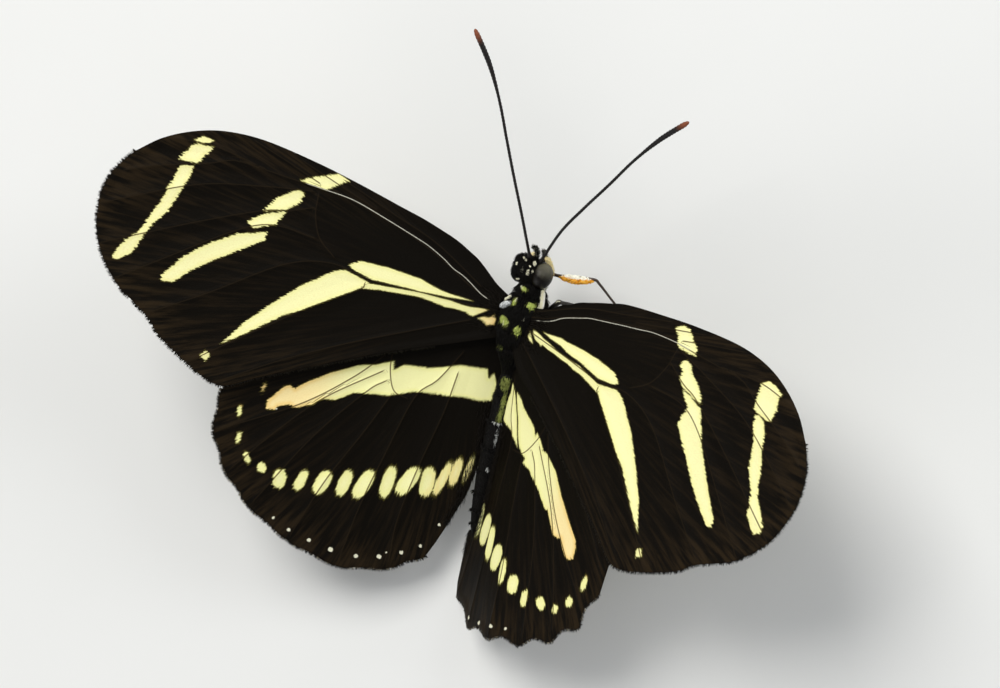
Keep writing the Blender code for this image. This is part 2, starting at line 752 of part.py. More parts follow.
BODY_IN_ROOT = frame_matrix((0.0, 0.0, THORAX_Z), (BODY_PITCH, 0.0, 0.0))
ROOT_TO_BODY = BODY_IN_ROOT.inverted()
WING_IN_ROOT = frame_matrix((WING_X, WING_Y, WING_Z), (0.0, 0.0, WING_YAW))

middle = empty_at("body_line", (BODY_X, BODY_Y, 0.0), (0.0, 0.0, 0.0), None)
body_frame = empty_at("body_frame", (0.0, 0.0, THORAX_Z), (BODY_PITCH, 0.0, 0.0), middle)
head_place = BODY_IN_ROOT @ Vector((0.0, HEAD_AT, 0.0))
head_frame = empty_at("head_frame", head_place, (0.0, 0.0, HEAD_YAW), middle)
skull_frame = empty_at("skull_frame", (0.0, 0.0, 0.0), (0.0, SKULL_ROLL, 0.0), head_frame)
wing_frame = empty_at("wing_frame", (WING_X, WING_Y, WING_Z), (0.0, 0.0, WING_YAW), middle)

thorax(body_frame)
abdomen(body_frame)
head(skull_frame)
proboscis(head_frame)
leg_nodes("midleg_right", MID_HIP, MID_RIGHT, middle)
leg_nodes("midleg_left", MID_HIP, MID_LEFT, middle)
for label, sign in (("left", -1), ("right", 1)):
    eye("eye_" + label, sign, skull_frame)
    antenna("antenna_" + label, sign, head_frame)
    palp("palp_" + label, sign, head_frame)
    foreleg("foreleg_" + label, sign, body_frame)
    leg_nodes("hindleg_" + label, HIND_HIP, [(sign * x, y, z) for x, y, z in HIND_LEG], middle)
    wing("forewing_" + label, sign, fore_outline(sign), FORE_VEINS, fore_place, wing_frame)
    wing("hindwing_" + label, sign, hind_outline(sign), HIND_VEINS, hind_place, wing_frame)
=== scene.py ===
import math
import bpy
import bmesh
import numpy as np
from mathutils import Matrix, Vector


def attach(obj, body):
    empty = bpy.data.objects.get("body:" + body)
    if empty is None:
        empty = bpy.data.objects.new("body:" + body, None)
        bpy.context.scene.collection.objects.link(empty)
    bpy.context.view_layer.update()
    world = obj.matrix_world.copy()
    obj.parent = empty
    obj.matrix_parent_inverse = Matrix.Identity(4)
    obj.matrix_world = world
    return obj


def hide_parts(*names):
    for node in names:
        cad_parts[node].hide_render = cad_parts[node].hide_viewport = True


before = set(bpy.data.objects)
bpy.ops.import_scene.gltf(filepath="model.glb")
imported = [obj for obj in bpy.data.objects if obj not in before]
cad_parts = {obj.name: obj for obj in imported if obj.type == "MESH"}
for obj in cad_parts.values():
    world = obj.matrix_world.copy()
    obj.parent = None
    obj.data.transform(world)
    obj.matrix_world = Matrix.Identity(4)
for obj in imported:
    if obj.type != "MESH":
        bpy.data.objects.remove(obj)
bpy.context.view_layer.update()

# The table and the light: the butterfly stands on a wide pale table top, under three large soft
# lamps, and is looked at from high over its right side with a long lens.
MM = 0.001
TABLE_HALF = 1.6


class Wire:
    """One output of a node. Sums written with it add Math nodes."""

    def __init__(self, finish, socket):
        self.finish = finish
        self.socket = socket

    def sum(self, operation, *parts):
        return self.finish.node("ShaderNodeMath", {"operation": operation}, dict(enumerate(parts)))

    def __add__(self, other):
        return self.sum("ADD", self, other)

    def __mul__(self, other):
        return self.sum("MULTIPLY", self, other)

    def __sub__(self, other):
        return self.sum("SUBTRACT", self, other)

    def __rsub__(self, other):
        return self.sum("SUBTRACT", other, self)

    __radd__ = __add__
    __rmul__ = __mul__

    def size(self):
        """The number without its sign."""
        return self.sum("ABSOLUTE", self)

    def between(self, low, high):
        """0 below low, 1 above high, eased in the middle."""
        return self.finish.node("ShaderNodeMapRange", {"interpolation_type": "SMOOTHSTEP"},
                                {"Value": self, "From Min": low, "From Max": high})


class Finish:
    """One material: its shader with the fixed sockets set, and a way to add nodes."""

    def __init__(self, name, **fixed):
        self.material = bpy.data.materials.new(name)
        self.material.use_nodes = True
        self.tree = self.material.node_tree
        self.shader = self.tree.nodes["Principled BSDF"]
        for socket, value in fixed.items():
            self.shader.inputs[socket.replace("_", " ")].default_value = value

    def node(self, kind, settings=None, inputs=None, out=0):
        made = self.tree.nodes.new(kind)
        for key, value in (settings or {}).items():
            setattr(made, key, value)
        for key, value in (inputs or {}).items():
            self.feed(made.inputs[key], value)
        return Wire(self, made.outputs[out])

    def feed(self, socket, value):
        if isinstance(value, Wire):
            self.tree.links.new(value.socket, socket)
        elif socket.type == "RGBA":
            socket.default_value = (*value, 1.0)
        else:
            socket.default_value = value

    def vector(self, operation, first, second, out=0):
        return self.node("ShaderNodeVectorMath", {"operation": operation}, {0: first, 1: second}, out)

    def place(self):
        """Object coordinates in millimetres."""
        at = self.node("ShaderNodeTexCoord", out=3)
        return self.node("ShaderNodeVectorMath", {"operation": "SCALE"}, {0: at, "Scale": 1 / MM})

    def value(self, name):
        """A number stored on the mesh."""
        return self.node("ShaderNodeAttribute", {"attribute_name": name}, out=2)

    def noise(self, vector, scale=1.0, detail=3.0, rough=0.5):
        return self.node("ShaderNodeTexNoise", {},
                         {"Vector": vector, "Scale": scale, "Detail": detail, "Roughness": rough})

    def mix(self, factor, first, second):
        """Colour that goes from the first to the second."""
        return self.node("ShaderNodeMix", {"data_type": "RGBA"}, {0: factor, 6: first, 7: second}, 2)

    def bump(self, height, distance, strength=1.0):
        return self.node("ShaderNodeBump", {},
                         {"Height": height, "Distance": distance * MM, "Strength": strength})

    def done(self, **varying):
        for socket, value in varying.items():
            self.feed(self.shader.inputs[socket.replace("_", " ")], value)
        return self.material


def piece(name, mesh, slot, material, *nodes):
    """A finished piece of the butterfly, standing for the nodes named."""
    made = bpy.data.objects.new(name, mesh)
    bpy.context.scene.collection.objects.link(made)
    mesh.materials.append(material)
    mesh.shade_smooth()
    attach(made, "root")
    if nodes:
        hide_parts(*nodes)


table_shape = bmesh.new()
bmesh.ops.create_grid(table_shape, x_segments=2, y_segments=2, size=TABLE_HALF)
table_mesh = bpy.data.meshes.new("table_top")
table_shape.to_mesh(table_mesh)
table_shape.free()
table = bpy.data.objects.new("table_top", table_mesh)
bpy.context.scene.collection.objects.link(table)
paper = Finish("pale_table", Roughness=0.85, Specular_IOR_Level=0.2)
cloud = paper.noise(paper.place(), 0.02)
table_mesh.materials.append(paper.done(
    Base_Color=paper.mix(cloud, (0.70, 0.705, 0.69), (0.74, 0.74, 0.73))))

# Lamps: name, place, width, power and tint.
LAMPS = (
    ("lamp_over", (-0.16, 0.24, 0.52), 0.34, 2.8, (1.0, 0.985, 0.95)),
    ("lamp_front", (0.42, 0.34, 0.34), 0.30, 1.25, (0.96, 0.98, 1.0)),
    ("lamp_low", (-0.25, -0.46, 0.30), 0.36, 0.85, (1.0, 0.99, 0.97)),
)
ROOM_TINT = (0.93, 0.96, 1.0, 1.0)
ROOM_LIGHT = 0.36
for lamp_name, lamp_at, lamp_size, lamp_power, lamp_tint in LAMPS:
    light = bpy.data.lights.new(lamp_name, "AREA")
    light.size = lamp_size
    light.energy = lamp_power
    light.color = lamp_tint
    lamp = bpy.data.objects.new(lamp_name, light)
    lamp.location = lamp_at
    lamp.rotation_euler = Vector(lamp_at).to_track_quat("Z", "Y").to_euler()
    bpy.context.scene.collection.objects.link(lamp)
room = bpy.data.worlds.new("soft_room")
room.use_nodes = True
room.node_tree.nodes["Background"].inputs["Color"].default_value = ROOM_TINT
room.node_tree.nodes["Background"].inputs["Strength"].default_value = ROOM_LIGHT
bpy.context.scene.world = room
bpy.context.scene.view_settings.view_transform = "Standard"

CAMERA_AT = (131.514, 16.256, 386.974)
CAMERA_TURN = (3.4196, 18.9483, 17.6374)
camera_data = bpy.data.cameras.new("camera")
camera_data.lens = 144.0
camera_data.sensor_width = 36.0
camera = bpy.data.objects.new("camera", camera_data)
camera.location = Vector(CAMERA_AT) * MM
camera.rotation_euler = [math.radians(angle) for angle in CAMERA_TURN]
bpy.context.scene.collection.objects.link(camera)
bpy.context.scene.camera = camera

# The body's skin: head, neck, thorax and abdomen in one closed surface of chitin under scales,
# drawn from a ball along the body's axis. The thorax has its plates and seams, the abdomen its
# overlapping rings, and the small yellow-green patches of the coat are marked on it.
PITCH = math.radians(11.0)
BODY = Matrix.Translation((1.7, 2.57, 7.8)) @ Matrix.Rotation(PITCH, 4, "X")
HEAD_AT = 5.24
HEAD_YAW = math.radians(-7.0)
SKULL_ROLL = math.radians(-20.0)
NECK = (3.95, 4.75)
# Skin sections: place along the body, half width and half height, in millimetres.
SKIN = ((-22.62, 0.1, 0.12), (-22.2, 0.22, 0.25), (-21.7, 0.4, 0.43), (-20.0, 0.68, 0.72), (-17.0, 0.92, 0.97),
        (-13.0, 1.03, 1.08), (-9.0, 1.0, 1.04), (-7.0, 0.88, 0.92), (-6.0, 0.72, 0.78), (-5.4, 0.62, 0.68),
        (-4.7, 0.88, 0.95), (-3.6, 1.36, 1.48), (-2.2, 1.88, 2.0), (-0.6, 2.16, 2.26), (0.9, 2.12, 2.22),
        (2.2, 1.74, 1.88), (3.2, 1.28, 1.34), (3.8, 1.0, 1.06), (4.15, 0.82, 0.86), (4.4, 0.8, 0.9),
        (4.75, 1.02, 1.06), (5.24, 1.2, 1.18), (5.9, 1.06, 1.1), (6.25, 0.8, 0.88), (6.45, 0.44, 0.5),
        (6.52, 0.05, 0.05))
FINE = np.linspace(SKIN[0][0], SKIN[-1][0], 1400)
SKIN_EASE = 0.24
TAPS = 30
END_ROUND = 0.5
RINGS = (-7.9, -10.65, -13.4, -16.0, -18.3, -20.2, -21.6)
RING_LONG = 2.2
RING_STEP = 0.055
RING_GROOVE = 0.05


def step_up(value, low, high):
    part = np.clip((value - low) / (high - low), 0, 1)
    return part * part * (3 - 2 * part)


def dip(value, at, reach):
    return np.exp(-((value - at) / reach) ** 2)


def eased(column):
    """A column of the skin's table, smoothed along the body but still closed at both ends."""
    table = np.array(SKIN)
    raw = np.interp(FINE, table[:, 0], table[:, column])
    taps = dip(np.arange(-TAPS, TAPS + 1) * (FINE[1] - FINE[0]), 0.0, SKIN_EASE)
    soft = np.convolve(np.pad(raw, TAPS, "edge"), taps / taps.sum(), "valid")
    closing = np.clip(np.minimum(FINE - FINE[0], FINE[-1] - FINE) / END_ROUND, 0, 1)
    return soft * np.sqrt(closing * (2 - closing))


WIDTH = eased(1)
HEIGHT = eased(2)


def skin_local(y, turn):
    """Points of the skin in the body's own frame, in millimetres."""
    wide = np.interp(y, FINE, WIDTH)
    high = np.interp(y, FINE, HEIGHT)
    roll = turn + PITCH
    top = np.sin(roll)
    mid = np.cos(roll) * wide
    raised = np.zeros_like(y)
    for at in RINGS:
        ring = step_up(y, at, at + 0.10) - step_up(y, at + 0.1, at + RING_LONG)
        raised -= RING_STEP * ring * (y < at + RING_LONG) * (y > at)
        raised += RING_GROOVE * dip(y, at, 0.07)
    slant = y + 0.5 * top
    midline = 0.10 * dip(mid, 0.0, 0.10) * step_up(y, -0.6, 0.2)
    rear_seam = 0.16 * dip(y - 0.22 * np.abs(mid), -0.95, 0.13)
    rear_plate = 0.13 * dip(y, -1.65, 0.5) * dip(mid, 0.0, 0.75)
    side_plates = 0.10 * dip(np.abs(mid), 1.25, 0.4) * dip(y, 0.6, 1.2)
    waist_seam = 0.12 * dip(y, -2.55, 0.14)
    collar_seam = 0.12 * dip(y, 2.75, 0.16)
    collar = 0.10 * dip(y, 3.15, 0.28) * (1 - 0.5 * dip(mid, 0.0, 0.15))
    flank_seams = 0.10 * (dip(slant, 1.2, 0.13) + dip(slant, -1.0, 0.13)) * step_up(-top, -0.3, 0.1)
    back = (rear_plate + side_plates - midline - rear_seam - waist_seam) * step_up(top, 0.2, 0.7)
    chest = step_up(y, -5.0, -4.4) * (1 - step_up(y, 3.6, 4.0))
    raised += (back + collar - collar_seam - flank_seams) * chest
    brow = 0.07 * dip(y, 6.05, 0.3) * dip(roll, math.pi / 2, 0.9)
    crown_seam = 0.07 * dip(mid, 0.0, 0.07) * step_up(top, 0.3, 0.8)
    raised += (brow - crown_seam) * step_up(y, 4.5, 4.9)
    sway = 0.25 * dip(y, 2.4, 1.8)
    point = np.stack([(wide + raised) * np.cos(turn) + sway, y, (high + raised) * np.sin(turn)], axis=-1)
    return head_turn(point)


def head_turn(point):
    """Rolls what lies before the neck, and turns it to the head's own level and heading."""
    part = step_up(point[..., 1], *NECK)
    x, y, z = point[..., 0], point[..., 1] - HEAD_AT, point[..., 2]
    x, z = turned(x, z, -SKULL_ROLL * part)
    x, y = turned(x, y, HEAD_YAW * part)
    y, z = turned(y, z, -PITCH * part)
    return np.stack([x, y + HEAD_AT, z], axis=-1)


def turned(first, second, angle):
    return first * np.cos(angle) - second * np.sin(angle), first * np.sin(angle) + second * np.cos(angle)


def moved(points, matrix):
    """Rows of points taken through a matrix."""
    held = np.array(matrix)
    return points @ held[:3, :3].T + held[:3, 3]


# Patches: centre and half sizes in the body's frame, and 0 for yellow-green or 1 for white.
PATCHES = ((-0.03, 3.37, 1.3, 0.34, 0.17, 0.7, 0), (-0.45, 2.0, 1.9, 0.19, 0.32, 0.8, 0),
           (1.19, 2.01, 1.6, 0.46, 0.25, 0.8, 0), (-1.14, -0.16, 2.0, 0.72, 0.42, 0.9, 0),
           (0.5, -0.7, 2.2, 0.34, 0.48, 0.8, 0), (-0.95, -2.9, 1.3, 0.36, 0.14, 0.7, 0),
           (0.14, -6.55, 0.9, 0.56, 0.66, 0.6, 0), (0.42, -8.3, 0.95, 0.24, 0.95, 0.5, 0),
           (0.36, -9.85, 0.95, 0.27, 0.75, 0.5, 0), (0.48, -12.2, 0.95, 0.08, 0.52, 0.4, 1),
           (0.32, -15.7, 0.95, 0.1, 0.16, 0.4, 1), (0.36, -10.72, 1.0, 0.24, 0.04, 0.5, 1),
           (0.0, 1.5, -2.0, 1.2, 1.4, 0.5, 1), (1.9, -0.3, -0.9, 0.5, 0.42, 0.4, 0),
           (-1.9, -0.3, -0.9, 0.5, 0.42, 0.4, 0), (1.35, -2.8, -0.6, 0.4, 0.45, 0.3, 0),
           (-1.35, -2.8, -0.6, 0.4, 0.45, 0.3, 0))
BELLY = tuple((side * 0.75, y, -0.62, 0.30, 0.72, 0.26, 0)
              for y in (-9.3, -12.0, -14.7, -17.1, -19.2) for side in (-1, 1))


def patch_depth(local):
    """How far inside a yellow-green and a white patch each point lies."""
    found = [np.full(local.shape[:-1], -1.0), np.full(local.shape[:-1], -1.0)]
    for *middle, rx, ry, rz, kind in PATCHES + BELLY:
        far = np.linalg.norm((local - middle) / (rx, ry, rz), axis=-1)
        found[kind] = np.maximum(found[kind], (1 - far) * min(rx, ry))
    return found


def store(mesh, name, values):
    """Keeps one number for each vertex on the mesh."""
    layer = mesh.attributes.new(name, "FLOAT", "POINT")
    layer.data.foreach_set("value", np.ascontiguousarray(values, dtype=np.float32))


def corners(mesh):
    held = np.empty(len(mesh.vertices) * 3)
    mesh.vertices.foreach_get("co", held)
    return held.reshape(-1, 3)


def settle(mesh, places):
    """Moves the mesh to places in millimetres, and turns its faces outwards."""
    mesh.vertices.foreach_set("co", (places * MM).astype(np.float32).ravel())
    shape = bmesh.new()
    shape.from_mesh(mesh)
    bmesh.ops.recalc_face_normals(shape, faces=shape.faces)
    shape.to_mesh(mesh)
    shape.free()
    mesh.update()


ball = bmesh.new()
bmesh.ops.create_uvsphere(ball, u_segments=96, v_segments=330, radius=1.0)
skin_mesh = bpy.data.meshes.new("body_skin")
ball.to_mesh(skin_mesh)
ball.free()
on_ball = corners(skin_mesh)
skin_y = FINE[0] + (FINE[-1] - FINE[0]) * (1 - np.arccos(np.clip(on_ball[:, 2], -1, 1)) / math.pi)
skin_turn = np.arctan2(on_ball[:, 1], on_ball[:, 0])
skin_points = skin_local(skin_y, skin_turn)
settle(skin_mesh, moved(skin_points, BODY))
for label, depth in zip(("yellow", "white"), patch_depth(skin_points)):
    store(skin_mesh, label, depth)

SKIN_BLACK = (0.0032, 0.0028, 0.0024)
skin = Finish("body_scales_skin", Roughness=0.6, Specular_IOR_Level=0.10)
at = skin.place()
grain = skin.noise(at, 7.0, 4.0, 0.6)
ragged = (grain - 0.5) * 0.28
tint = skin.mix(skin.noise(at, 2.0).between(0.45, 0.75), SKIN_BLACK, [c * 2.4 + 0.004 for c in SKIN_BLACK])
tint = skin.mix((skin.value("yellow") + ragged).between(-0.03, 0.04), tint,
                skin.mix(grain, (0.36, 0.40, 0.085), (0.198, 0.22, 0.04675)))
tint = skin.mix((skin.value("white") + ragged).between(-0.02, 0.03), tint, (0.72, 0.70, 0.55))
piece("body_skin", skin_mesh, "body_scales", skin.done(Base_Color=tint, Normal=skin.bump(grain, 0.05)),
      "head", "thorax", "abdomen")

# The coat: short black hair on the thorax and head, flat overlapping scales on the abdomen, all
# as thin solid tufts of hair and scales that lie back along the body. They carry the same patches.
draw = np.random.default_rng(11)
WAIST = -5.2
HAIR_SINK = 0.05
BAKE_PATCH = 0.003
# One tuft: two rings of three corners and a tip, its ten faces, and its corners' places on its patch.
TUFT_FACES = np.array(((0, 1, 4), (0, 4, 3), (1, 2, 5), (1, 5, 4), (2, 0, 3), (2, 3, 5),
                       (3, 4, 6), (4, 5, 6), (5, 3, 6), (0, 2, 1)))
TUFT_PATCH = np.array(((0, 0), (1, 0), (0.5, 0.2), (0.1, 0.5), (0.9, 0.5), (0.5, 0.6), (0.5, 1)))


def unit(ways):
    """Rows of vectors at length one."""
    return ways / np.linalg.norm(ways, axis=1, keepdims=True)


def laid_on(ways, out):
    """The same vectors without their share along the outward ones, at length one."""
    return unit(ways - out * (ways * out).sum(1, keepdims=True))


def skin_frames(y, turn):
    """Place, outward direction and backward lie of points on the skin, in millimetres."""
    here = skin_local(y, turn)
    back = skin_local(y - 0.02, turn) - here
    out = unit(np.cross(skin_local(y, turn + 0.01) - here, back))
    centre = np.stack([np.zeros_like(y), y, np.zeros_like(y)], axis=-1)
    return here, out * np.sign((out * (here - centre)).sum(1, keepdims=True)), unit(back)


def tufts(name, slot, material, frames, sizes, bake, white=-1.0, yellow=-1.0, matrix=BODY, shade=None):
    """A piece of many tapered three-sided tufts, each root sunk a little in the skin."""
    root, out, lie = frames
    count = len(root)
    long, wide, lift = [np.broadcast_to(size, count)[:, None] for size in sizes]
    shade = draw.uniform(0, 1, count) if shade is None else shade
    edge = np.cross(lie, out) * wide * 0.5
    keel = out * wide * 0.4
    base = root - out * HAIR_SINK
    middle = root + lie * long * 0.5 + out * (lift * 0.75)
    rows = np.stack([base - edge, base + edge, base + keel, middle - edge, middle + edge, middle + keel,
                     root + lie * long + out * lift], axis=1)
    faces = (TUFT_FACES[None] + 7 * np.arange(count)[:, None, None]).reshape(-1)
    mesh = bpy.data.meshes.new(name)
    mesh.vertices.add(7 * count)
    mesh.loops.add(len(faces))
    mesh.polygons.add(len(faces) // 3)
    mesh.vertices.foreach_set("co", (moved(rows.reshape(-1, 3), matrix) * MM).astype(np.float32).ravel())
    mesh.loops.foreach_set("vertex_index", faces.astype(np.int32))
    mesh.polygons.foreach_set("loop_start", np.arange(0, len(faces), 3, dtype=np.int32))
    mesh.update(calc_edges=True)
    mesh.validate()
    spots = (bake[:, None, :] + (TUFT_PATCH - 0.5) * BAKE_PATCH).reshape(-1, 2)
    layer = mesh.uv_layers.new(name="OFBake")
    layer.data.foreach_set("uv", spots[faces].reshape(-1).astype(np.float32))
    for label, values in (("yellow", yellow), ("white", white), ("shade", shade)):
        store(mesh, label, np.repeat(np.broadcast_to(values, count), 7))
    store(mesh, "along", np.tile([0, 0, 0, 0.5, 0.5, 0.5, 1.0], count))
    piece(name, mesh, slot, material)


def skin_bake(y, turn):
    """Places of the skin on its own unwrap."""
    return np.stack([turn / (2 * math.pi) + 0.5, (y - FINE[0]) / (FINE[-1] - FINE[0])], -1)


def coat_piece(name, reach, count, long, wide, lift, slot, material, clear_eyes=False):
    """One coat piece over a length of the body, its hair kept out of the pale patches."""
    y = draw.uniform(*reach, count * 3)
    turn = draw.uniform(-math.pi, math.pi, count * 3)
    size = np.interp(y, FINE, WIDTH)
    kept = draw.uniform(0, size.max(), count * 3) < size
    y, turn = y[kept][:count], turn[kept][:count]
    if clear_eyes:
        beside = (y > 4.62) & (y < 6.2) & (np.abs(np.cos(turn)) > 0.74)
        y, turn = y[~beside], turn[~beside]
    here, out, back = skin_frames(y, turn)
    lie = laid_on(back + draw.normal(0, 0.22, (len(y), 3)), out)
    wild = draw.uniform(0.65, 1.35, len(y))
    run = lie * (np.interp(y, *long) * wild)[:, None]
    half_way, whole_way = patch_depth(here + run * 0.5), patch_depth(here + run)
    clear = (np.max(whole_way, axis=0) < 0.05) & (np.max(half_way, axis=0) < 0.02) | (y < WAIST)
    here, out, lie, y, turn, wild = [part[clear] for part in (here, out, lie, y, turn, wild)]
    tufts(name, slot, material, (here, out, lie),
          (np.interp(y, *long) * wild, wide, np.interp(y, *lift) * wild), skin_bake(y, turn),
          half_way[1][clear], half_way[0][clear])


def hair_finish(name, ground, yellow_tint, white_tint):
    """Hair and scale tufts: dark, a little paler to the tips, with the patches' colours."""
    hair = Finish(name, Roughness=0.45, Specular_IOR_Level=0.10)
    shade = hair.value("shade")
    tint = hair.mix(shade * hair.value("along"), ground, [c * 2.8 + 0.003 for c in ground])
    ragged = (shade - 0.5) * 0.22
    tint = hair.mix((hair.value("yellow") + ragged).between(-0.02, 0.03), tint,
                    hair.mix(shade, yellow_tint, [c * 0.6 for c in yellow_tint]))
    tint = hair.mix((hair.value("white") + ragged).between(-0.02, 0.03), tint, white_tint)
    return hair.done(Base_Color=tint)


body_hair = hair_finish("body_hair", (0.0035, 0.003, 0.0025), (0.42, 0.47, 0.10), (0.80, 0.78, 0.64))
abdomen_hair = hair_finish("abdomen_scale_tufts", (0.003, 0.0026, 0.0022), (0.26, 0.29, 0.075), (0.46, 0.47, 0.45))
coat_piece("thorax_coat", (WAIST, 4.3), 15000, ((-5, -2, 2, 4.2), (0.7, 0.85, 0.7, 0.5)), 0.055,
           ((-5, 0, 4.2), (0.22, 0.20, 0.22)), "body_scales", body_hair)
coat_piece("head_coat", (4.3, 6.5), 8000, ((4.3, 5.2, 6.4), (0.44, 0.50, 0.38)), 0.042,
           ((4.3, 4.9, 5.6, 6.4), (0.18, 0.34, 0.36, 0.26)), "body_scales", body_hair, clear_eyes=True)
coat_piece("abdomen_coat", (-22.4, -5.0), 17000, ((-22, -20, -8, -5), (0.35, 0.42, 0.42, 0.7)), 0.11,
           ((-22, -8, -5), (0.03, 0.03, 0.14)), "abdomen_scales", abdomen_hair)

# The marks on head and thorax are flat scales of their own, larger and paler than the hair, laid
# in small crisp groups. Black hair of the crown lies over the top of the left eye.
HEAD = Matrix.Translation(BODY @ Vector((0.0, HEAD_AT, 0.0))) @ Matrix.Rotation(HEAD_YAW, 4, "Z")
SKULL = HEAD @ Matrix.Rotation(SKULL_ROLL, 4, "Y")
HEAD_IN_BODY = BODY.inverted() @ HEAD
HEAD_WAYS = np.array(HEAD_IN_BODY.to_3x3()).T
EYE_SIZE = (1.02, 1.34, 1.14)
EYE_OUT = 1.34
EYE_BACK = -0.14
CROWN_HAIRS = 9000
CROWN_REACH = (-1.95, -0.4)
# The line of sight in the head's frame, and the level there at which the marks were measured.
SEEN_FROM = np.array((0.320, 0.060, 0.946))
MARK_LEVEL = 1.1
# How far scales of the head and of the thorax stand over the skin, and their lengths.
HEAD_LIFT, HEAD_SCALE = 0.30, 0.16
CHEST_LIFT, CHEST_SCALE = 0.06, 0.26
SHOWN, HIDDEN = 0.5, -1.0
# Each group: place seen from above, half length, half width, heading, count, yellow-green 0 or white 1.
BODY_MARKS = ((-0.03, 3.37, 0.4, 0.18, 150, 60, 0), (-0.3, 3.52, 0.16, 0.08, 150, 14, 1),
              (-0.45, 2.0, 0.34, 0.19, 75, 66, 0), (-0.36, 2.26, 0.14, 0.1, 75, 12, 1),
              (1.19, 2.01, 0.48, 0.25, 155, 110, 0), (-1.14, -0.16, 0.76, 0.42, 168, 210, 0),
              (0.5, -0.7, 0.5, 0.35, 80, 120, 0), (0.88, 0.64, 0.12, 0.1, 90, 12, 1),
              (1.88, 0.49, 0.13, 0.11, 90, 12, 1), (-1.02, -0.3, 0.22, 0.05, 100, 12, 1),
              (-0.95, -2.9, 0.36, 0.14, 165, 40, 0))
# Head groups, with the same columns. The first two, on the top of the left eye, are white scales put where the glossy
# eye shows pale glints: painted highlights.
HEAD_MARKS = ((-0.91, 0.76, 0.27, 0.1, 155, 28, 1), (-1.54, 0.01, 0.15, 0.1, 90, 13, 1),
              (-0.77, -0.31, 0.3, 0.13, 95, 26, 1), (-0.09, -0.34, 0.3, 0.16, 100, 32, 1),
              (0.31, -0.04, 0.24, 0.08, 90, 16, 1), (0.2, 0.76, 0.22, 0.17, 110, 26, 1),
              (-0.14, 0.3, 0.1, 0.08, 90, 7, 1))
mark_scales = hair_finish("mark_scales", (0.17, 0.18, 0.20), (0.60, 0.70, 0.17), (0.86, 0.83, 0.62))

strewn = unit(draw.normal(0, 1, (CROWN_HAIRS, 3)))
skull_ways = np.array((HEAD.inverted() @ SKULL).to_3x3()).T
crown = (strewn * EYE_SIZE + (-EYE_OUT, EYE_BACK, 0.0)) @ skull_ways
crown_out = unit((strewn / EYE_SIZE) @ skull_ways)
covered = (crown_out[:, 2] > 0.22) & (crown[:, 0] > CROWN_REACH[0]) & (crown[:, 0] < CROWN_REACH[1])
crown, crown_out = crown[covered], crown_out[covered]
skull_points = (skin_points - np.array(HEAD_IN_BODY.translation)) @ HEAD_WAYS.T
seats = np.concatenate([skull_points[(skin_y > 4.4) & (skull_points[:, 2] > 0.2)], crown])
seat_plan = (seats - SEEN_FROM * ((seats[:, 2] - MARK_LEVEL) / SEEN_FROM[2])[:, None])[:, :2]
upper = np.nonzero(skin_points[:, 2] > 0.05)[0]


def mark_plan(mark):
    """Places seen from above for the scales of one mark, spread over its leaning oval."""
    cx, cy, half_long, half_wide, heading, count, kind = mark
    angle = math.radians(heading)
    far = np.sqrt(draw.uniform(0, 1, count))
    round_at = draw.uniform(0, 2 * math.pi, count)
    x, y = turned(far * np.cos(round_at) * half_long, far * np.sin(round_at) * half_wide, angle)
    return np.stack([cx + x, cy + y, np.full(count, MARK_LEVEL)], -1)


# Groups of scales in the body's frame: root, outward way, lie, kind, length, and turn and place on the skin.
groups = []
for mark in BODY_MARKS:
    plan = mark_plan(mark)
    near = upper[np.argmin(((plan[:, None, :2] - skin_points[None, upper, :2]) ** 2).sum(-1), axis=1)]
    here, out, back = skin_frames(skin_y[near], skin_turn[near])
    root = np.stack([plan[:, 0], plan[:, 1], here[:, 2]], -1) + out * CHEST_LIFT
    groups.append((root, out, back, np.full(len(root), mark[-1]), np.full(len(root), CHEST_SCALE),
                   np.stack([skin_turn[near], skin_y[near]], -1)))
for mark in HEAD_MARKS:
    plan = mark_plan(mark)
    gaps = np.hypot(*(seat_plan[:, None] - plan[None, :, :2]).transpose(2, 0, 1))
    near = gaps < np.maximum(gaps.min(axis=0), 0.14)
    height = np.where(near, (seats @ SEEN_FROM)[:, None], -9.0).max(axis=0)
    root = moved(plan + SEEN_FROM * (height + HEAD_LIFT - plan @ SEEN_FROM)[:, None], HEAD_IN_BODY)
    facing = np.tile(SEEN_FROM @ HEAD_WAYS, (len(plan), 1))
    ways = laid_on(np.tile((0.1, -1.0, 0.1), (len(plan), 1)), facing)
    groups.append((root, facing, ways, np.full(len(plan), mark[-1]), np.full(len(plan), HEAD_SCALE),
                   np.stack([np.full(len(plan), 1.2), 5.0 + 0.3 * plan[:, 1]], -1)))


def curve_through(points, step):
    """A smooth line through the points, about a step between its places."""
    line = [Vector(p) for p in points]
    ends = [2 * line[0] - line[1]] + line + [2 * line[-1] - line[-2]]
    made = []
    for a, b, c, d in zip(ends, ends[1:], ends[2:], ends[3:]):
        count = max(1, round((c - b).length / step))
        for k in range(count):
            t = k / count
            made.append(0.5 * (2 * b + (c - a) * t + (2 * a - 5 * b + 4 * c - d) * t * t
                               + (3 * b - a - 3 * c + d) * t * t * t))
    return made + [line[-1]]


def path_scales(path, count, spread, raised, matrix=BODY):
    """White scales in a row along a path in the frame given, brought to the body's frame."""
    line = curve_through(path, 0.05)
    pick = draw.integers(0, len(line), count)
    root = np.array([tuple(p) for p in line])[pick] + draw.normal(0, 1, (count, 3)) * spread
    ways = np.array([tuple((line[min(i + 1, len(line) - 1)] - line[max(i - 1, 0)]).normalized()) for i in pick])
    out = laid_on(np.tile((0.0, 0.1, 1.0), (count, 1)), ways)
    into = BODY.inverted() @ matrix
    held = np.array(into.to_3x3()).T
    seat = np.stack([0.05 + pick / len(line), np.full(count, 0.5)], -1)
    return moved(root + out * raised, into), out @ held, ways @ held, np.ones(count), np.full(count, HEAD_SCALE), seat


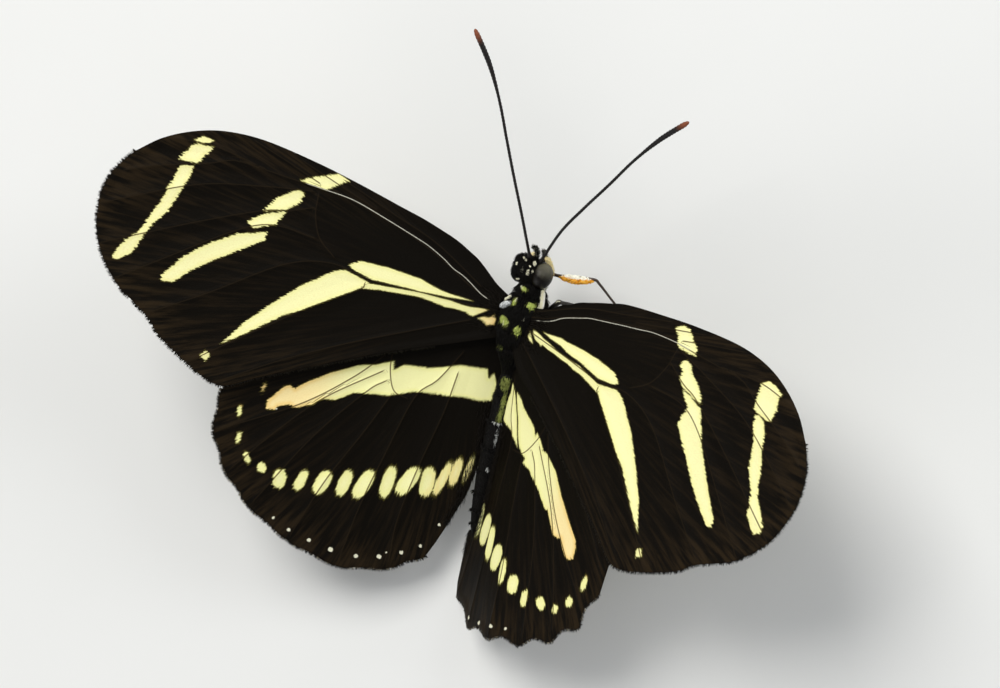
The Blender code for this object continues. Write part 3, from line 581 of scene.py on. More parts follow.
def draw_stem(shape, line, radii, sides=14):
    """Draws one stem out of a ring of edges; the ends are closed."""
    normal = None
    for i, (at, radius) in enumerate(zip(line, radii)):
        along = (line[min(i + 1, len(line) - 1)] - line[max(i - 1, 0)]).normalized()
        if normal is None:
            normal = along.cross(Vector((0.1, 0.2, 1.0))).normalized()
        normal = (normal - along * normal.dot(along)).normalized()
        stand = Matrix.Translation(at) @ Matrix((normal, along.cross(normal), along)).transposed().to_4x4()
        stand = stand @ Matrix.Scale(radius, 4)
        if i == 0:
            ring = bmesh.ops.create_circle(shape, cap_ends=True, segments=sides, radius=1.0)["verts"]
            bmesh.ops.transform(shape, matrix=stand, verts=ring)
            rim = [e for e in ring[0].link_edges[0].link_faces[0].edges if set(e.verts) <= set(ring)]
        else:
            made = bmesh.ops.extrude_edge_only(shape, edges=rim)["geom"]
            ring = [g for g in made if isinstance(g, bmesh.types.BMVert)]
            held = set(ring)
            rim = [g for g in made if isinstance(g, bmesh.types.BMEdge) and set(g.verts) <= held]
            bmesh.ops.transform(shape, matrix=stand @ before.inverted(), verts=ring)
        before = stand
    bmesh.ops.holes_fill(shape, edges=rim, sides=0)


def mesh_of(name, shape, matrix):
    """The finished mesh in metres of the room, its faces turned outwards."""
    bmesh.ops.transform(shape, matrix=Matrix.Scale(MM, 4) @ matrix, verts=shape.verts)
    bmesh.ops.recalc_face_normals(shape, faces=shape.faces)
    mesh = bpy.data.meshes.new(name)
    shape.to_mesh(mesh)
    shape.free()
    return mesh


def stem_mesh(name, line, radii, matrix, sides=14):
    shape = bmesh.new()
    draw_stem(shape, line, radii, sides)
    return mesh_of(name, shape, matrix)


NECK_STRIP = ((1.72, 3.52, 0.40), (1.80, 3.30, 0.60), (1.96, 2.85, 0.86), (2.12, 2.30, 1.16), (2.22, 1.85, 1.38))
SHOULDER_STREAK = ((-1.20, 2.44, 1.52), (-1.44, 2.16, 1.40), (-1.66, 1.90, 1.22))
COLLAR_DOT = ((-1.15, 4.10, 0.78), (-0.92, 4.20, 0.92))
EYE_STREAK = ((0.74, -0.70, 0.78), (1.27, -0.93, 0.48), (1.76, -1.20, 0.08))
strip_line = curve_through(NECK_STRIP, 0.1)
strip_radii = np.interp(np.linspace(0, 1, len(strip_line)), (0, 0.12, 0.75, 1), (0.08, 0.22, 0.24, 0.10))
strip = Finish("neck_strip", Roughness=0.6, Specular_IOR_Level=0.15)
piece("neck_strip", stem_mesh("neck_strip", strip_line, strip_radii, BODY, 12), "body_scales", strip.done(
    Base_Color=strip.mix(strip.noise(strip.place(), 6.0), (0.72, 0.70, 0.62), (0.88, 0.86, 0.80))))
groups.append(path_scales(NECK_STRIP, 260, (0.10, 0.04, 0.08), 0.16))
groups.append(path_scales(SHOULDER_STREAK, 60, (0.05, 0.04, 0.04), 0.05))
groups.append(path_scales(COLLAR_DOT, 18, (0.04, 0.03, 0.03), 0.05))
groups.append(path_scales(EYE_STREAK, 60, (0.015, 0.015, 0.015), 0.10, HEAD))
root, out, lie, kind, long, seat = [np.concatenate(part) for part in zip(*groups)]
lie = laid_on(lie + draw.normal(0, 0.16, (len(root), 3)), out)
wild = draw.uniform(0.75, 1.25, len(root))
tufts("mark_scales", "body_scales", mark_scales, (root - lie * (long * 0.4)[:, None], out, lie),
      (long * wild, 0.09 * wild, 0.10 * wild), skin_bake(seat[:, 1], seat[:, 0]),
      np.where(kind > 0.5, SHOWN, HIDDEN), np.where(kind < 0.5, SHOWN, HIDDEN))

root, out = moved(crown, HEAD_IN_BODY), crown_out @ HEAD_WAYS
lie = laid_on(np.tile((-0.25, -1.0, 0.05), (len(root), 1)) + draw.normal(0, 0.3, (len(root), 3)), out)
wild = draw.uniform(0.7, 1.3, len(root))
tufts("crown_hair", "body_scales", body_hair, (root, out, lie), (0.36 * wild, 0.045, 0.20 * wild),
      np.stack([crown[:, 0] * 0.2 + 0.75, crown[:, 1] * 0.05 + 0.95], -1))

# The forewings' hinges: two low domes of cuticle on the shoulders. Blue-grey scales cover the left
# one, dark hair the right one.
HINGE_RISE = 0.20
HINGE_SCALES = 420
hinge_hair = hair_finish("hinge_scales", (0.13, 0.135, 0.138), (0.4, 0.4, 0.1), (0.76, 0.78, 0.78))
wing_hair = hair_finish("wing_hair", (0.006, 0.0045, 0.003), (0.6, 0.6, 0.2), (0.3, 0.25, 0.15))
# Each hinge: place, outward way, way ahead, half width, half length, share of pale scales, finish.
HINGES = (
    ("left", (-1.50, 1.55, 1.42), (-0.50, 0.20, 0.84), (-0.58, 1.0, 0.0), 0.80, 0.30, 0.55, hinge_hair),
    ("right", (2.18, 1.50, 1.22), (0.62, 0.10, 0.78), (0.30, 1.0, 0.0), 0.62, 0.46, 0.05, wing_hair),
)
for label, hinge_at, up, ahead, half_wide, half_long, pale_share, hinge_scales in HINGES:
    up, ahead = Vector(up).normalized(), Vector(ahead)
    ahead = (ahead - up * ahead.dot(up)).normalized()
    stand = Matrix.Translation(hinge_at) @ Matrix((ahead.cross(up), ahead, up)).transposed().to_4x4()
    cap = bmesh.new()
    bmesh.ops.create_uvsphere(cap, u_segments=28, v_segments=16, radius=1.0)
    bmesh.ops.scale(cap, verts=cap.verts, vec=(half_wide, half_long, HINGE_RISE))
    name = "hinge_dome_" + label
    dome = Finish(name, Roughness=0.6, Specular_IOR_Level=0.15)
    piece(name, mesh_of(name, cap, BODY @ stand), "body_scales", dome.done(Base_Color=dome.mix(
        dome.noise(dome.place(), 8.0).between(0.35, 0.7), (0.008, 0.007, 0.006), (0.030, 0.030, 0.031))))
    far = np.sqrt(draw.uniform(0, 1, HINGE_SCALES))
    round_at = draw.uniform(0, 2 * math.pi, HINGE_SCALES)
    local = np.stack([far * np.cos(round_at) * half_wide, far * np.sin(round_at) * half_long,
                      HINGE_RISE * np.sqrt(1 - far ** 2 * 0.9)], -1)
    ways = np.array(stand.to_3x3()).T
    out = unit(ways[2] + (local * (0.4, 0.3, 0.0)) @ ways)
    lie = laid_on(draw.normal(0, 0.2, (HINGE_SCALES, 3)) - ways[1], out)
    long = draw.uniform(0.2, 0.36, HINGE_SCALES)
    pale = np.where(draw.uniform(0, 1, HINGE_SCALES) < pale_share, SHOWN, HIDDEN)
    tufts("hinge_scales_" + label, "body_scales", hinge_scales, (moved(local, stand), out, lie),
          (long, 0.08, 0.07), local[:, :2] * 0.4 + 0.5, pale)

# The eyes: two large glossy domes of fine facets seated in the sides of the head, almost black,
# with a painted greenish-grey sheen on the upper end of the right one, where light falls on it.
EYE_DARK = (0.0045, 0.0032, 0.0024)
# Each eye: side, name, and the colour of the painted sheen on its upper end, near black on the left one.
EYES = ((-1, "left", (0.010, 0.008, 0.006)), (1, "right", (0.120, 0.112, 0.078)))
for side, label, painted_sheen in EYES:
    middle = Vector((side * EYE_OUT, EYE_BACK, 0.0))
    dome = bmesh.new()
    bmesh.ops.create_uvsphere(dome, u_segments=64, v_segments=40, radius=1.0)
    bmesh.ops.rotate(dome, verts=dome.verts, matrix=Matrix.Rotation(math.radians(90), 3, "Y"))
    bmesh.ops.scale(dome, verts=dome.verts, vec=EYE_SIZE)
    bmesh.ops.translate(dome, verts=dome.verts, vec=middle)
    lens = Finish("eye_gloss_" + label, Roughness=0.18, Specular_IOR_Level=0.2)
    at = lens.place()
    facets = lens.node("ShaderNodeTexVoronoi", {"feature": "F1"}, {"Vector": at, "Scale": 22.0})
    # Painted sheen: the colour rises from near black to the sheen's colour towards the upper end of the eye, where
    # light falls.
    sheen_rise = lens.vector("DOT_PRODUCT", lens.vector("SUBTRACT", at, SKULL @ middle), (0.42, 0.80, 0.42), 1)
    base = lens.mix((sheen_rise + lens.noise(at, 1.1) * 0.7).between(0.55, 1.9), EYE_DARK, painted_sheen)
    name = "eye_dome_" + label
    piece(name, mesh_of(name, dome, SKULL), "eye", lens.done(
        Base_Color=base, Normal=lens.bump(facets, 0.012)), "eye_" + label)

# Feelers, palps, proboscis and legs are all stems: a ring of edges drawn out along a line and
# closed at its ends. The feelers are black with many small joints and a brown-tipped club.
ANTENNA = ((0.36, 0.72, 0.55), (0.62, 1.15, 0.87), (2.26, 4.85, 3.61), (3.99, 7.94, 5.12), (5.82, 11.11, 6.33),
           (7.59, 14.26, 7.61), (9.62, 17.23, 8.87), (12.0, 19.88, 10.25))
FEELER_TIP = 0.036
for side, label in ((-1, "left"), (1, "right")):
    line = curve_through([(side * x, y, z) for x, y, z in ANTENNA], 0.09)
    radii = []
    for i in range(len(line)):
        along = i / (len(line) - 1)
        radius = 0.15 + 0.12 * float(step_up(along, 0.70, 0.90))
        radius *= 1 + 0.08 * math.cos(2 * math.pi * i / 4)
        radius += 0.10 * dip(along, 0.03, 0.015)
        radii.append(radius * math.sqrt(max(0.02, 1 - max(0.0, (along - 0.965) / FEELER_TIP) ** 2)))
    horn = Finish("antenna_black_" + label, Roughness=0.4, Specular_IOR_Level=0.25)
    at = horn.place()
    grain = horn.noise(at, 9.0)
    gap = horn.vector("DISTANCE", at, HEAD @ Vector((side * ANTENNA[-1][0], *ANTENNA[-1][1:])), 1)
    tint = horn.mix(grain.between(0.4, 0.8), (0.004, 0.003, 0.003), (0.014, 0.010, 0.009))
    tint = horn.mix(1 - (gap + grain * 0.4).between(0.6, 2.0), tint, (0.20, 0.055, 0.022))
    name = "feeler_" + label
    piece(name, stem_mesh(name, line, radii, HEAD), "antenna", horn.done(
        Base_Color=tint, Normal=horn.bump(grain, 0.02)), "antenna_" + label)

# The palps stand up before the face, pointed and covered with black bristles and cream scales.
PALP = ((0.32, 1.15, -0.45), (0.42, 1.62, -0.28), (0.46, 1.92, -0.05), (0.52, 2.12, 0.45), (0.6, 2.24, 1.12))


def bristles(name, slot, material, line, radii, count, first, seat, spread, reach, wide, stand, pale, matrix):
    """Short hair or scales all round a stem, lying along it, some of it pale."""
    span = len(line) - 1
    pick = draw.integers(first, span, count)
    before = 1 if first else 0
    ways = np.array([tuple((line[i + 1] - line[i - before]).normalized()) for i in pick])
    out = laid_on(draw.normal(0, 1, (count, 3)), ways)
    root = np.array([tuple(p) for p in line])[pick] + out * (np.array(radii)[pick] * seat)[:, None]
    lie = unit(ways + spread * draw.normal(0, 1, (count, 3))) if spread else ways
    long = draw.uniform(*reach, count)
    white = np.where(draw.uniform(0, 1, count) < pale, SHOWN, HIDDEN)
    tufts(name, slot, material, (root, out, lie), (long, wide, long * stand),
          np.stack([pick / span, np.arctan2(out[:, 2], out[:, 0]) / 6.3 + 0.5], -1), white, matrix=matrix)


for side, label in ((-1, "left"), (1, "right")):
    line = curve_through([(side * x, y, z) for x, y, z in PALP], 0.07)
    span = len(line) - 1
    radii = [0.08 + 0.12 * math.sin(math.pi * min(1.0, 0.25 + 0.8 * i / span)) for i in range(span)] + [0.03]
    cuticle = Finish("palp_skin_" + label, Roughness=0.6)
    grain = cuticle.noise(cuticle.place(), 5.0)
    piece("palp_stem_" + label, stem_mesh("palp_" + label, line, radii, HEAD), "palp", cuticle.done(
        Base_Color=cuticle.mix(grain.between(0.5, 0.75), (0.006, 0.005, 0.004), (0.04, 0.035, 0.025)),
        Normal=cuticle.bump(grain, 0.03)), "palp_" + label)
    bristles("palp_bristles_" + label, "palp", body_hair, line, radii, 700, 0, 0.9, 0.25, (0.18, 0.42),
             0.035, 0.35, 0.16, HEAD)

# The cheeks: a soft rim of cream scales before each eye, broad by the palps and fading outwards.
CHEEK = ((0.66, 1.5, 0.1), (0.8, 1.62, 0.18), (1.15, 1.47, 0.1), (1.47, 1.2, 0.0), (1.85, 0.76, -0.1),
         (2.02, 0.4, -0.16))
CHEEK_RADII = ((0, 0.15, 0.35, 0.6, 0.85, 1), (0.10, 0.26, 0.23, 0.16, 0.09, 0.03))
LEFT_SETBACK = 0.16
cheek = Finish("cheek_skin", Roughness=0.6, Specular_IOR_Level=0.15)
cheek_skin = cheek.done(Base_Color=cheek.mix(cheek.noise(cheek.place(), 7.0), (0.82, 0.66, 0.30), (0.90, 0.79, 0.46)))
cheek_hair = hair_finish("cheek_scales", (0.56, 0.42, 0.18), (0.8, 0.7, 0.3), (0.93, 0.81, 0.44))
for side, label in ((-1, "left"), (1, "right")):
    rolled = [SKULL.inverted() @ HEAD @ Vector(p) for p in CHEEK]
    line = curve_through([(side * x, y - (LEFT_SETBACK if side < 0 else 0), z) for x, y, z in rolled], 0.06)
    radii = np.interp(np.arange(len(line)) / (len(line) - 1), *CHEEK_RADII)
    name = "cheek_" + label
    piece(name, stem_mesh(name, line, radii, SKULL), "body_scales", cheek_skin)
    bristles("cheek_scales_" + label, "body_scales", cheek_hair, line, radii, 420, 0, 0.95, 0.3, (0.12, 0.26),
             0.06, 0.3, 0.8, SKULL)

# The proboscis: a slim dark tube of two grooved halves, reaching out to the right and down, with a
# load of orange pollen grains on its first part, its upper side painted pale cream: a painted highlight.
PROBOSCIS = ((0.0, 0.3, -0.9), (0.0, 0.42, -1.46), (0.08, 0.44, -1.72), (0.62, 0.42, -1.95), (1.75, 0.38, -1.95),
             (3.8, 1.0, -1.95), (5.6, 1.55, -1.98), (6.15, 1.3, -2.6), (7.45, 0.1, -5.0), (8.8, -1.1, -7.4))
line = curve_through(PROBOSCIS, 0.08)
span = len(line) - 1
radii = [(0.19 - 0.09 * i / span) * (1 + 0.04 * math.cos(math.pi * i)) for i in range(span)] + [0.03]
tongue = Finish("proboscis_brown", Roughness=0.35, Specular_IOR_Level=0.5)
grain = tongue.noise(tongue.place(), 6.0)
piece("proboscis_tube", stem_mesh("proboscis_tube", line, radii, HEAD), "proboscis", tongue.done(
    Base_Color=tongue.mix(grain, (0.020, 0.012, 0.008), (0.07, 0.035, 0.018)),
    Normal=tongue.bump(grain, 0.015)), "proboscis")

LOAD = ((1.64, 0.34), (2.39, 0.46), (3.1, 0.62), (3.97, 0.81), (4.8, 1.1), (5.57, 1.34))
LOAD_LEVEL = -1.95
# The load's half thickness by its place to the side.
LOAD_HALF = ((1.6, 0.06), (2.2, 0.14), (2.6, 0.34), (3.3, 0.46), (4.0, 0.5), (4.7, 0.44), (5.2, 0.3), (5.6, 0.08))
GRAINS = 900
GRAIN_SIZE = (0.035, 0.075)
grains = bmesh.new()
load = curve_through([(x, y, LOAD_LEVEL) for x, y in LOAD], 0.09)
load_half = [float(np.interp(p.x, *zip(*LOAD_HALF))) for p in load]
lumpy = [0.80 + 0.10 * math.sin(7 * p.x) + 0.06 * math.sin(17 * p.x + 1) for p in load]
draw_stem(grains, load, [half * share for half, share in zip(load_half, lumpy)], 16)
for n in range(GRAINS):
    i = int(draw.integers(0, len(load)))
    angle = draw.uniform(0, 2 * math.pi)
    far = load_half[i] * draw.uniform(0.72, 1.0)
    at = load[i] + Vector((draw.uniform(-0.08, 0.08), math.cos(angle) * far, math.sin(angle) * far))
    bmesh.ops.create_icosphere(grains, subdivisions=1, radius=draw.uniform(*GRAIN_SIZE),
                               matrix=Matrix.Translation(at))
pollen = Finish("pollen", Roughness=0.8, Specular_IOR_Level=0.2)
lump = pollen.noise(pollen.place(), 4.0, 4.0)
pollen_mesh = mesh_of("pollen_load", grains, HEAD)
held = corners(pollen_mesh) / MM
thread = np.array([tuple(HEAD @ p) for p in load])
near = thread[np.argmin(((held[:, None] - thread[None]) ** 2).sum(-1), axis=1)]
# How far each grain lies towards the upper side of the load, where the painted highlight falls.
store(pollen_mesh, "upper", (held - near) @ np.array((-0.05, 0.93, 0.36)))
orange = pollen.mix(lump.between(0.35, 0.65), (0.86, 0.36, 0.02), (0.94, 0.56, 0.09))
# Painted highlight: the orange goes pale cream on the upper side of the load.
pale = (pollen.value("upper") + (lump - 0.5) * 0.3).between(0.10, 0.26)
piece("pollen_load", pollen_mesh, "proboscis", pollen.done(
    Base_Color=pollen.mix(pale, orange, (0.90, 0.88, 0.76)), Normal=pollen.bump(lump, 0.03)))

# The walking legs, one skin each from the hip to the claws: thick femur, slim tibia with spurs,
# five short joints and two claws, dark brown scales, with a row of white scales at each knee.
LEGS = (
    ("midleg_right", 1, 0.8, (3.35, 2.85, 8.3), (5.4, 2.9, 2.9),
     ((6.3, 2.9, 0.9), (7.2, 3.0, 0.17), (8.0, 3.0, 0.13))),
    ("midleg_left", -1, 0.8, (-3.4, 1.2, 7.4), (-4.9, 0.5, 2.6),
     ((-5.6, 0.3, 0.85), (-6.5, 0.1, 0.17), (-7.3, 0.0, 0.13))),
    ("hindleg_right", 1, -1.6, (4.2, -4.6, 6.3), (5.4, -9.4, 2.9),
     ((5.8, -11.3, 0.9), (6.1, -12.6, 0.17), (6.3, -13.6, 0.13))),
    ("hindleg_left", -1, -1.6, (-4.2, -4.6, 6.3), (-5.4, -9.4, 2.9),
     ((-5.8, -11.3, 0.9), (-6.1, -12.6, 0.17), (-6.3, -13.6, 0.13))),
)
STAND = Matrix.Translation((1.7, 2.57, 0.0))
# Hip: place to the side and height in the body's frame, and the stem's radius there.
HIP = ((0.8, -1.3, 0.55), (1.2, -2.0, 0.46), (1.42, -2.75, 0.30))
# Thigh and shin: share of the way to the knee or from it, and the radius there.
THIGH = ((0.25, 0.34), (0.6, 0.31), (0.93, 0.25))
SHIN = ((0.0, 0.27), (0.08, 0.21), (0.5, 0.22), (0.93, 0.19), (1.0, 0.16))
TOE_RADII = (0.15, 0.14, 0.11)
TOE_JOINT = 0.85
SPURS = 46
SHIN_SPURS = 30
KNEE_SCALES = 110
leg_skin = Finish("leg_scales", Roughness=0.5, Specular_IOR_Level=0.4)
grain = leg_skin.noise(leg_skin.place(), 8.0, 4.0, 0.6)
leg_tint = leg_skin.mix(grain.between(0.42, 0.75), (0.009, 0.007, 0.005), (0.050, 0.037, 0.026))
leg_material = leg_skin.done(Base_Color=leg_tint, Normal=leg_skin.bump(grain, 0.03))
for name, side, hip_y, knee, ankle, toes in LEGS:
    knee, ankle = Vector(knee), Vector(ankle)
    stops = [(STAND.inverted() @ BODY @ Vector((side * x, hip_y, z)), radius) for x, z, radius in HIP]
    joint = stops[-1][0]
    stops += [(joint.lerp(knee, share), radius) for share, radius in THIGH]
    stops += [(knee.lerp(ankle, share), radius) for share, radius in SHIN]
    foot_start = len(stops) - 1
    stops += [(Vector(toe), radius) for toe, radius in zip(toes, TOE_RADII)]
    chain = [place for place, radius in stops]
    stop_at = np.cumsum([0.0] + [(b - a).length for a, b in zip(chain, chain[1:])])
    places = curve_through(chain, 0.12)
    gone = np.cumsum([0.0] + [(b - a).length for a, b in zip(places, places[1:])])
    radii = np.interp(gone, stop_at, [radius for place, radius in stops])
    beads = 0.86 + 0.22 * np.abs(np.sin((gone - stop_at[foot_start]) * math.pi / TOE_JOINT))
    radii = np.where(gone > stop_at[foot_start], radii * beads, radii)
    shape = bmesh.new()
    draw_stem(shape, places, radii)
    last = chain[-1]
    toe_way = (last - chain[-2]).normalized()
    across = toe_way.cross(Vector((0, 0, 1)))
    for claw in (-1, 1):
        hook = curve_through([last - toe_way * 0.05,
                              last + toe_way * 0.14 + across * claw * 0.10 + Vector((0, 0, 0.06)),
                              last + toe_way * 0.30 + across * claw * 0.16 + Vector((0, 0, -0.04))], 0.06)
        draw_stem(shape, hook, [0.05, 0.05, 0.045, 0.03, 0.02] + [0.008] * len(hook), 6)
    for k in range(SPURS):
        part = draw.uniform(0.0, 1.0)
        if k < SHIN_SPURS:
            seat, way, size = knee.lerp(ankle, part), (ankle - knee).normalized(), 0.30
        else:
            seat, way, size = ankle.lerp(last, part), toe_way, 0.18
        off = Vector(draw.normal(0, 1, 3))
        off = (off - way * off.dot(way)).normalized()
        if (seat + off * 0.3).z >= 0.2:
            draw_stem(shape, [seat + off * 0.12, seat + off * 0.22 + way * size * 0.4,
                              seat + off * 0.30 + way * size], [0.03, 0.022, 0.006], 5)
    piece(name + "_skin", mesh_of(name, shape, STAND), "leg", leg_material,
          name + "_femur", name + "_tibia", name + "_tarsus")
    above = (knee - joint.lerp(ankle, 0.5)).normalized()
    row = [joint.lerp(knee, 0.82) + above * 0.22, knee + above * 0.26, knee.lerp(ankle, 0.10) + above * 0.16]
    root, out, lie, kind, long, seat = path_scales(row, KNEE_SCALES, (0.03, 0.03, 0.03), 0.03, STAND)
    tufts(name + "_scales", "leg", mark_scales, (root, out, lie), (long, 0.07, 0.04), seat, SHOWN)

# The forelegs: two tiny brushes folded under the neck, covered with pale and dark hair.
FORELEG = ((0.35, 2.7, -1.0), (0.6, 3.15, -1.72), (0.75, 3.35, -2.05), (0.82, 3.8, -2.35), (0.78, 4.4, -2.45))
for side, label in ((-1, "left"), (1, "right")):
    line = curve_through([(side * x, y, z) for x, y, z in FORELEG], 0.08)
    radii = [0.24 - 0.15 * i / (len(line) - 1) for i in range(len(line))]
    name = "foreleg_stem_" + label
    piece(name, stem_mesh(name, line, radii, BODY), "leg", leg_material, "foreleg_" + label)
    bristles("foreleg_brush_" + label, "leg", body_hair, line, radii, 420, 4, 0.9, None, (0.25, 0.5),
             0.04, 0.4, 0.45, BODY)

# The wings: thin sheets of membrane between raised veins, covered above and below with rows of
# tiny scales, black with pale yellow bands. Each is one grid fitted between its four edges.
WING = Matrix.Translation((0.41, 2.73, 9.3)) @ Matrix.Rotation(HEAD_YAW, 4, "Z")
HALF_SHEET = 0.07
VEIN_RISE = 0.06
VEIN_HALF = 0.13
ROOT_SWELL = 0.12
FORE_GRID = (260, 140)
HIND_GRID = (185, 200)
# How deep the sheets reach into the body, as a share of its radius.
INTO_BODY = 0.82
FORE_HINGE, FORE_SWEEP, FORE_CLIMB = (2.0, -2.0), math.radians(1.07), (0.42, 0.05)
HIND_HINGE, HIND_SWEEP, HIND_CLIMB = (2.0, -3.0), math.radians(-0.72), (0.46, 0.12)
HIND_LEVEL = -1.45
# The right hindwing's inner field falls along the body at this slope, past a soft crease.
FOLD_SLOPE = 1.16
CREASE = 0.9
FOLD = math.sqrt(1 + HIND_CLIMB[0] ** 2) / math.sqrt(1 + FOLD_SLOPE ** 2)
# Edges of the forewings in the plan of the wings: front, outer and rear, from root to tip and back.
LEFT_FRONT = ((1.9, 2.35), (2.8, 2.95), (3.6, 3.5), (4.5, 4.05), (5.6, 4.5), (6.5, 4.85), (7.4, 5.1), (8.6, 5.35),
              (10.5, 5.7))
RIGHT_FRONT = ((4.2, 2.2), (4.8, 2.5), (5.7, 3.2), (6.6, 3.6), (7.6, 4.2), (8.7, 4.6), (9.8, 5.0), (11.0, 5.4))
FORE_FRONT = ((13.0, 6.0), (17.0, 6.5), (21.5, 6.9), (26.6, 7.0), (30.2, 6.4), (33.0, 5.2), (35.5, 3.4),
              (37.4, 1.2))
FORE_OUTER = ((23.5, -17.6), (25.2, -17.1), (27.6, -16.1), (29.6, -15.1), (31.0, -13.9), (32.7, -13.0),
              (34.6, -12.0), (36.4, -10.4), (37.9, -8.3), (38.7, -6.0), (39.0, -3.6), (38.6, -1.2), (37.4, 1.2))
FORE_REAR = ((3.6, -4.7), (6.4, -6.4), (9.4, -8.3), (12.9, -10.7), (16.4, -13.2), (19.4, -15.3), (22.1, -17.4),
             (23.5, -17.6))
# The thin silver line along the front of each forewing, then the veins.
LEFT_SILVER = ((2.4, 0.7), (3.1, 0.9), (4.3, 1.5), (5.2, 1.9), (6.3, 2.2), (7.3, 2.7), (8.9, 3.3), (10.1, 3.6),
               (13.8, 4.3), (17.1, 4.8), (19.9, 4.7), (21.5, 4.6))
RIGHT_SILVER = ((3.5, 0.72), (4.5, 1.0), (5.4, 1.4), (6.3, 2.0), (7.2, 2.4), (8.3, 2.8), (9.4, 3.2), (10.4, 3.4),
                (12.0, 3.7), (13.6, 4.0), (15.4, 4.3), (17.1, 4.6), (19.9, 4.7), (21.5, 4.6))
FORE_VEINS = (
    ((3.3, 1.6), (8.5, 3.9), (13.5, 5.1), (18.4, 6.3)),
    ((2.4, 0.7), (4.5, 1.3), (7.2, 2.5), (10.3, 3.5), (13.8, 4.2), (17.1, 4.7), (19.9, 4.7), (22.5, 4.5),
     (25.7, 4.3), (28.7, 4.0), (30.7, 2.8), (34.8, 0.8), (37.6, -0.9)),
    ((25.8, 4.4), (30.5, 4.6), (34.3, 3.9)),
    ((14.8, 4.8), (18.5, 5.6), (22.6, 6.5)),
    ((20.6, 5.1), (24.0, 5.9), (27.4, 6.6)),
    ((20.9, 4.1), (25.0, 2.8), (31.0, 0.4), (38.3, -4.6)),
    ((20.3, 2.6), (22.5, 1.3), (24.6, 0.4), (30.0, -3.2), (37.4, -8.6)),
    ((19.2, -0.2), (23.1, -0.5), (26.2, -2.4), (31.2, -7.4), (34.9, -11.2)),
    ((20.3, 4.0), (19.9, 2.0), (18.8, 0.0), (17.0, -1.2)),
    ((3.2, -0.5), (8.0, -1.2), (13.1, -2.0), (17.0, -1.9), (21.0, -3.8), (26.5, -9.2), (31.0, -13.3)),
    ((13.4, -2.6), (13.6, -3.2), (18.1, -7.6), (23.7, -13.8), (26.3, -16.8)),
    ((3.2, -2.0), (8.0, -5.3), (13.5, -9.2), (18.5, -13.2), (22.2, -16.6)),
)
# Pale patches of the forewings as outlines.
BOTH_PALE = (
    ((15.5, -2.0), (16.4, -2.5), (18.8, -5.1), (20.6, -7.7), (22.4, -10.5), (23.9, -13.7), (22.4, -12.1),
     (19.4, -8.6), (18.1, -7.5), (13.7, -3.2), (13.1, -2.3)),
    ((25.0, -14.7), (25.3, -15.5), (24.6, -15.9), (24.4, -15.1)),
)
LEFT_PALE = BOTH_PALE + (
    ((32.7, 4.4), (32.0, 5.1), (31.0, 5.1), (31.8, 4.4)),
    ((33.5, 2.0), (32.6, 4.1), (30.8, 4.5), (31.6, 2.4)),
    ((33.1, 1.5), (33.3, -0.2), (33.6, -2.3), (34.1, -4.3), (34.5, -6.1), (35.4, -7.4), (35.9, -8.6), (36.0, -9.7),
     (35.5, -9.6), (34.5, -8.5), (34.1, -6.9), (33.6, -4.9), (32.7, -3.3), (32.3, -1.2), (31.9, 1.0), (31.9, 2.0)),
    ((22.4, 4.6), (21.0, 5.6), (19.2, 6.7), (18.1, 6.4), (19.8, 4.7)),
    ((21.5, 3.6), (21.6, 2.6), (22.5, 1.4), (24.6, 0.4), (23.6, 2.3), (22.2, 3.7)),
    ((25.6, -1.2), (24.3, 0.2), (22.5, 1.2), (23.0, -0.4), (24.8, -1.6)),
    ((23.5, -1.4), (23.4, -2.2), (25.3, -4.2), (27.5, -6.4), (28.8, -7.9), (30.0, -9.7), (31.0, -9.9), (31.2, -9.4),
     (29.9, -6.8), (28.1, -4.6), (26.0, -2.7)),
    ((15.4, -1.4), (14.5, -0.6), (12.1, -0.2), (8.8, 0.0), (7.5, -0.2), (6.7, -0.3), (5.7, -0.3), (4.8, -0.2),
     (3.5, -0.1), (3.9, -0.2), (4.7, -0.4), (5.9, -0.7), (7.0, -0.9), (8.4, -1.2), (9.6, -1.35), (12.9, -1.9),
     (14.8, -1.7)),
    ((13.2, -2.4), (9.5, -1.55), (8.4, -1.28), (7.4, -1.15), (6.5, -1.05), (5.5, -0.88), (4.3, -0.85), (3.5, -0.72),
     (2.7, -0.5), (1.8, -0.3), (2.5, -1.0), (3.0, -1.5), (3.3, -1.5), (3.8, -1.4), (4.8, -1.5), (5.7, -1.7),
     (7.2, -1.7), (8.2, -1.75), (9.4, -2.0), (11.9, -2.6), (13.7, -3.2)),
    ((2.5, -1.5), (2.0, -1.1), (1.5, -1.0), (1.2, -0.5), (0.9, -1.0), (0.9, -1.5), (1.5, -1.9), (1.9, -1.6)),
)
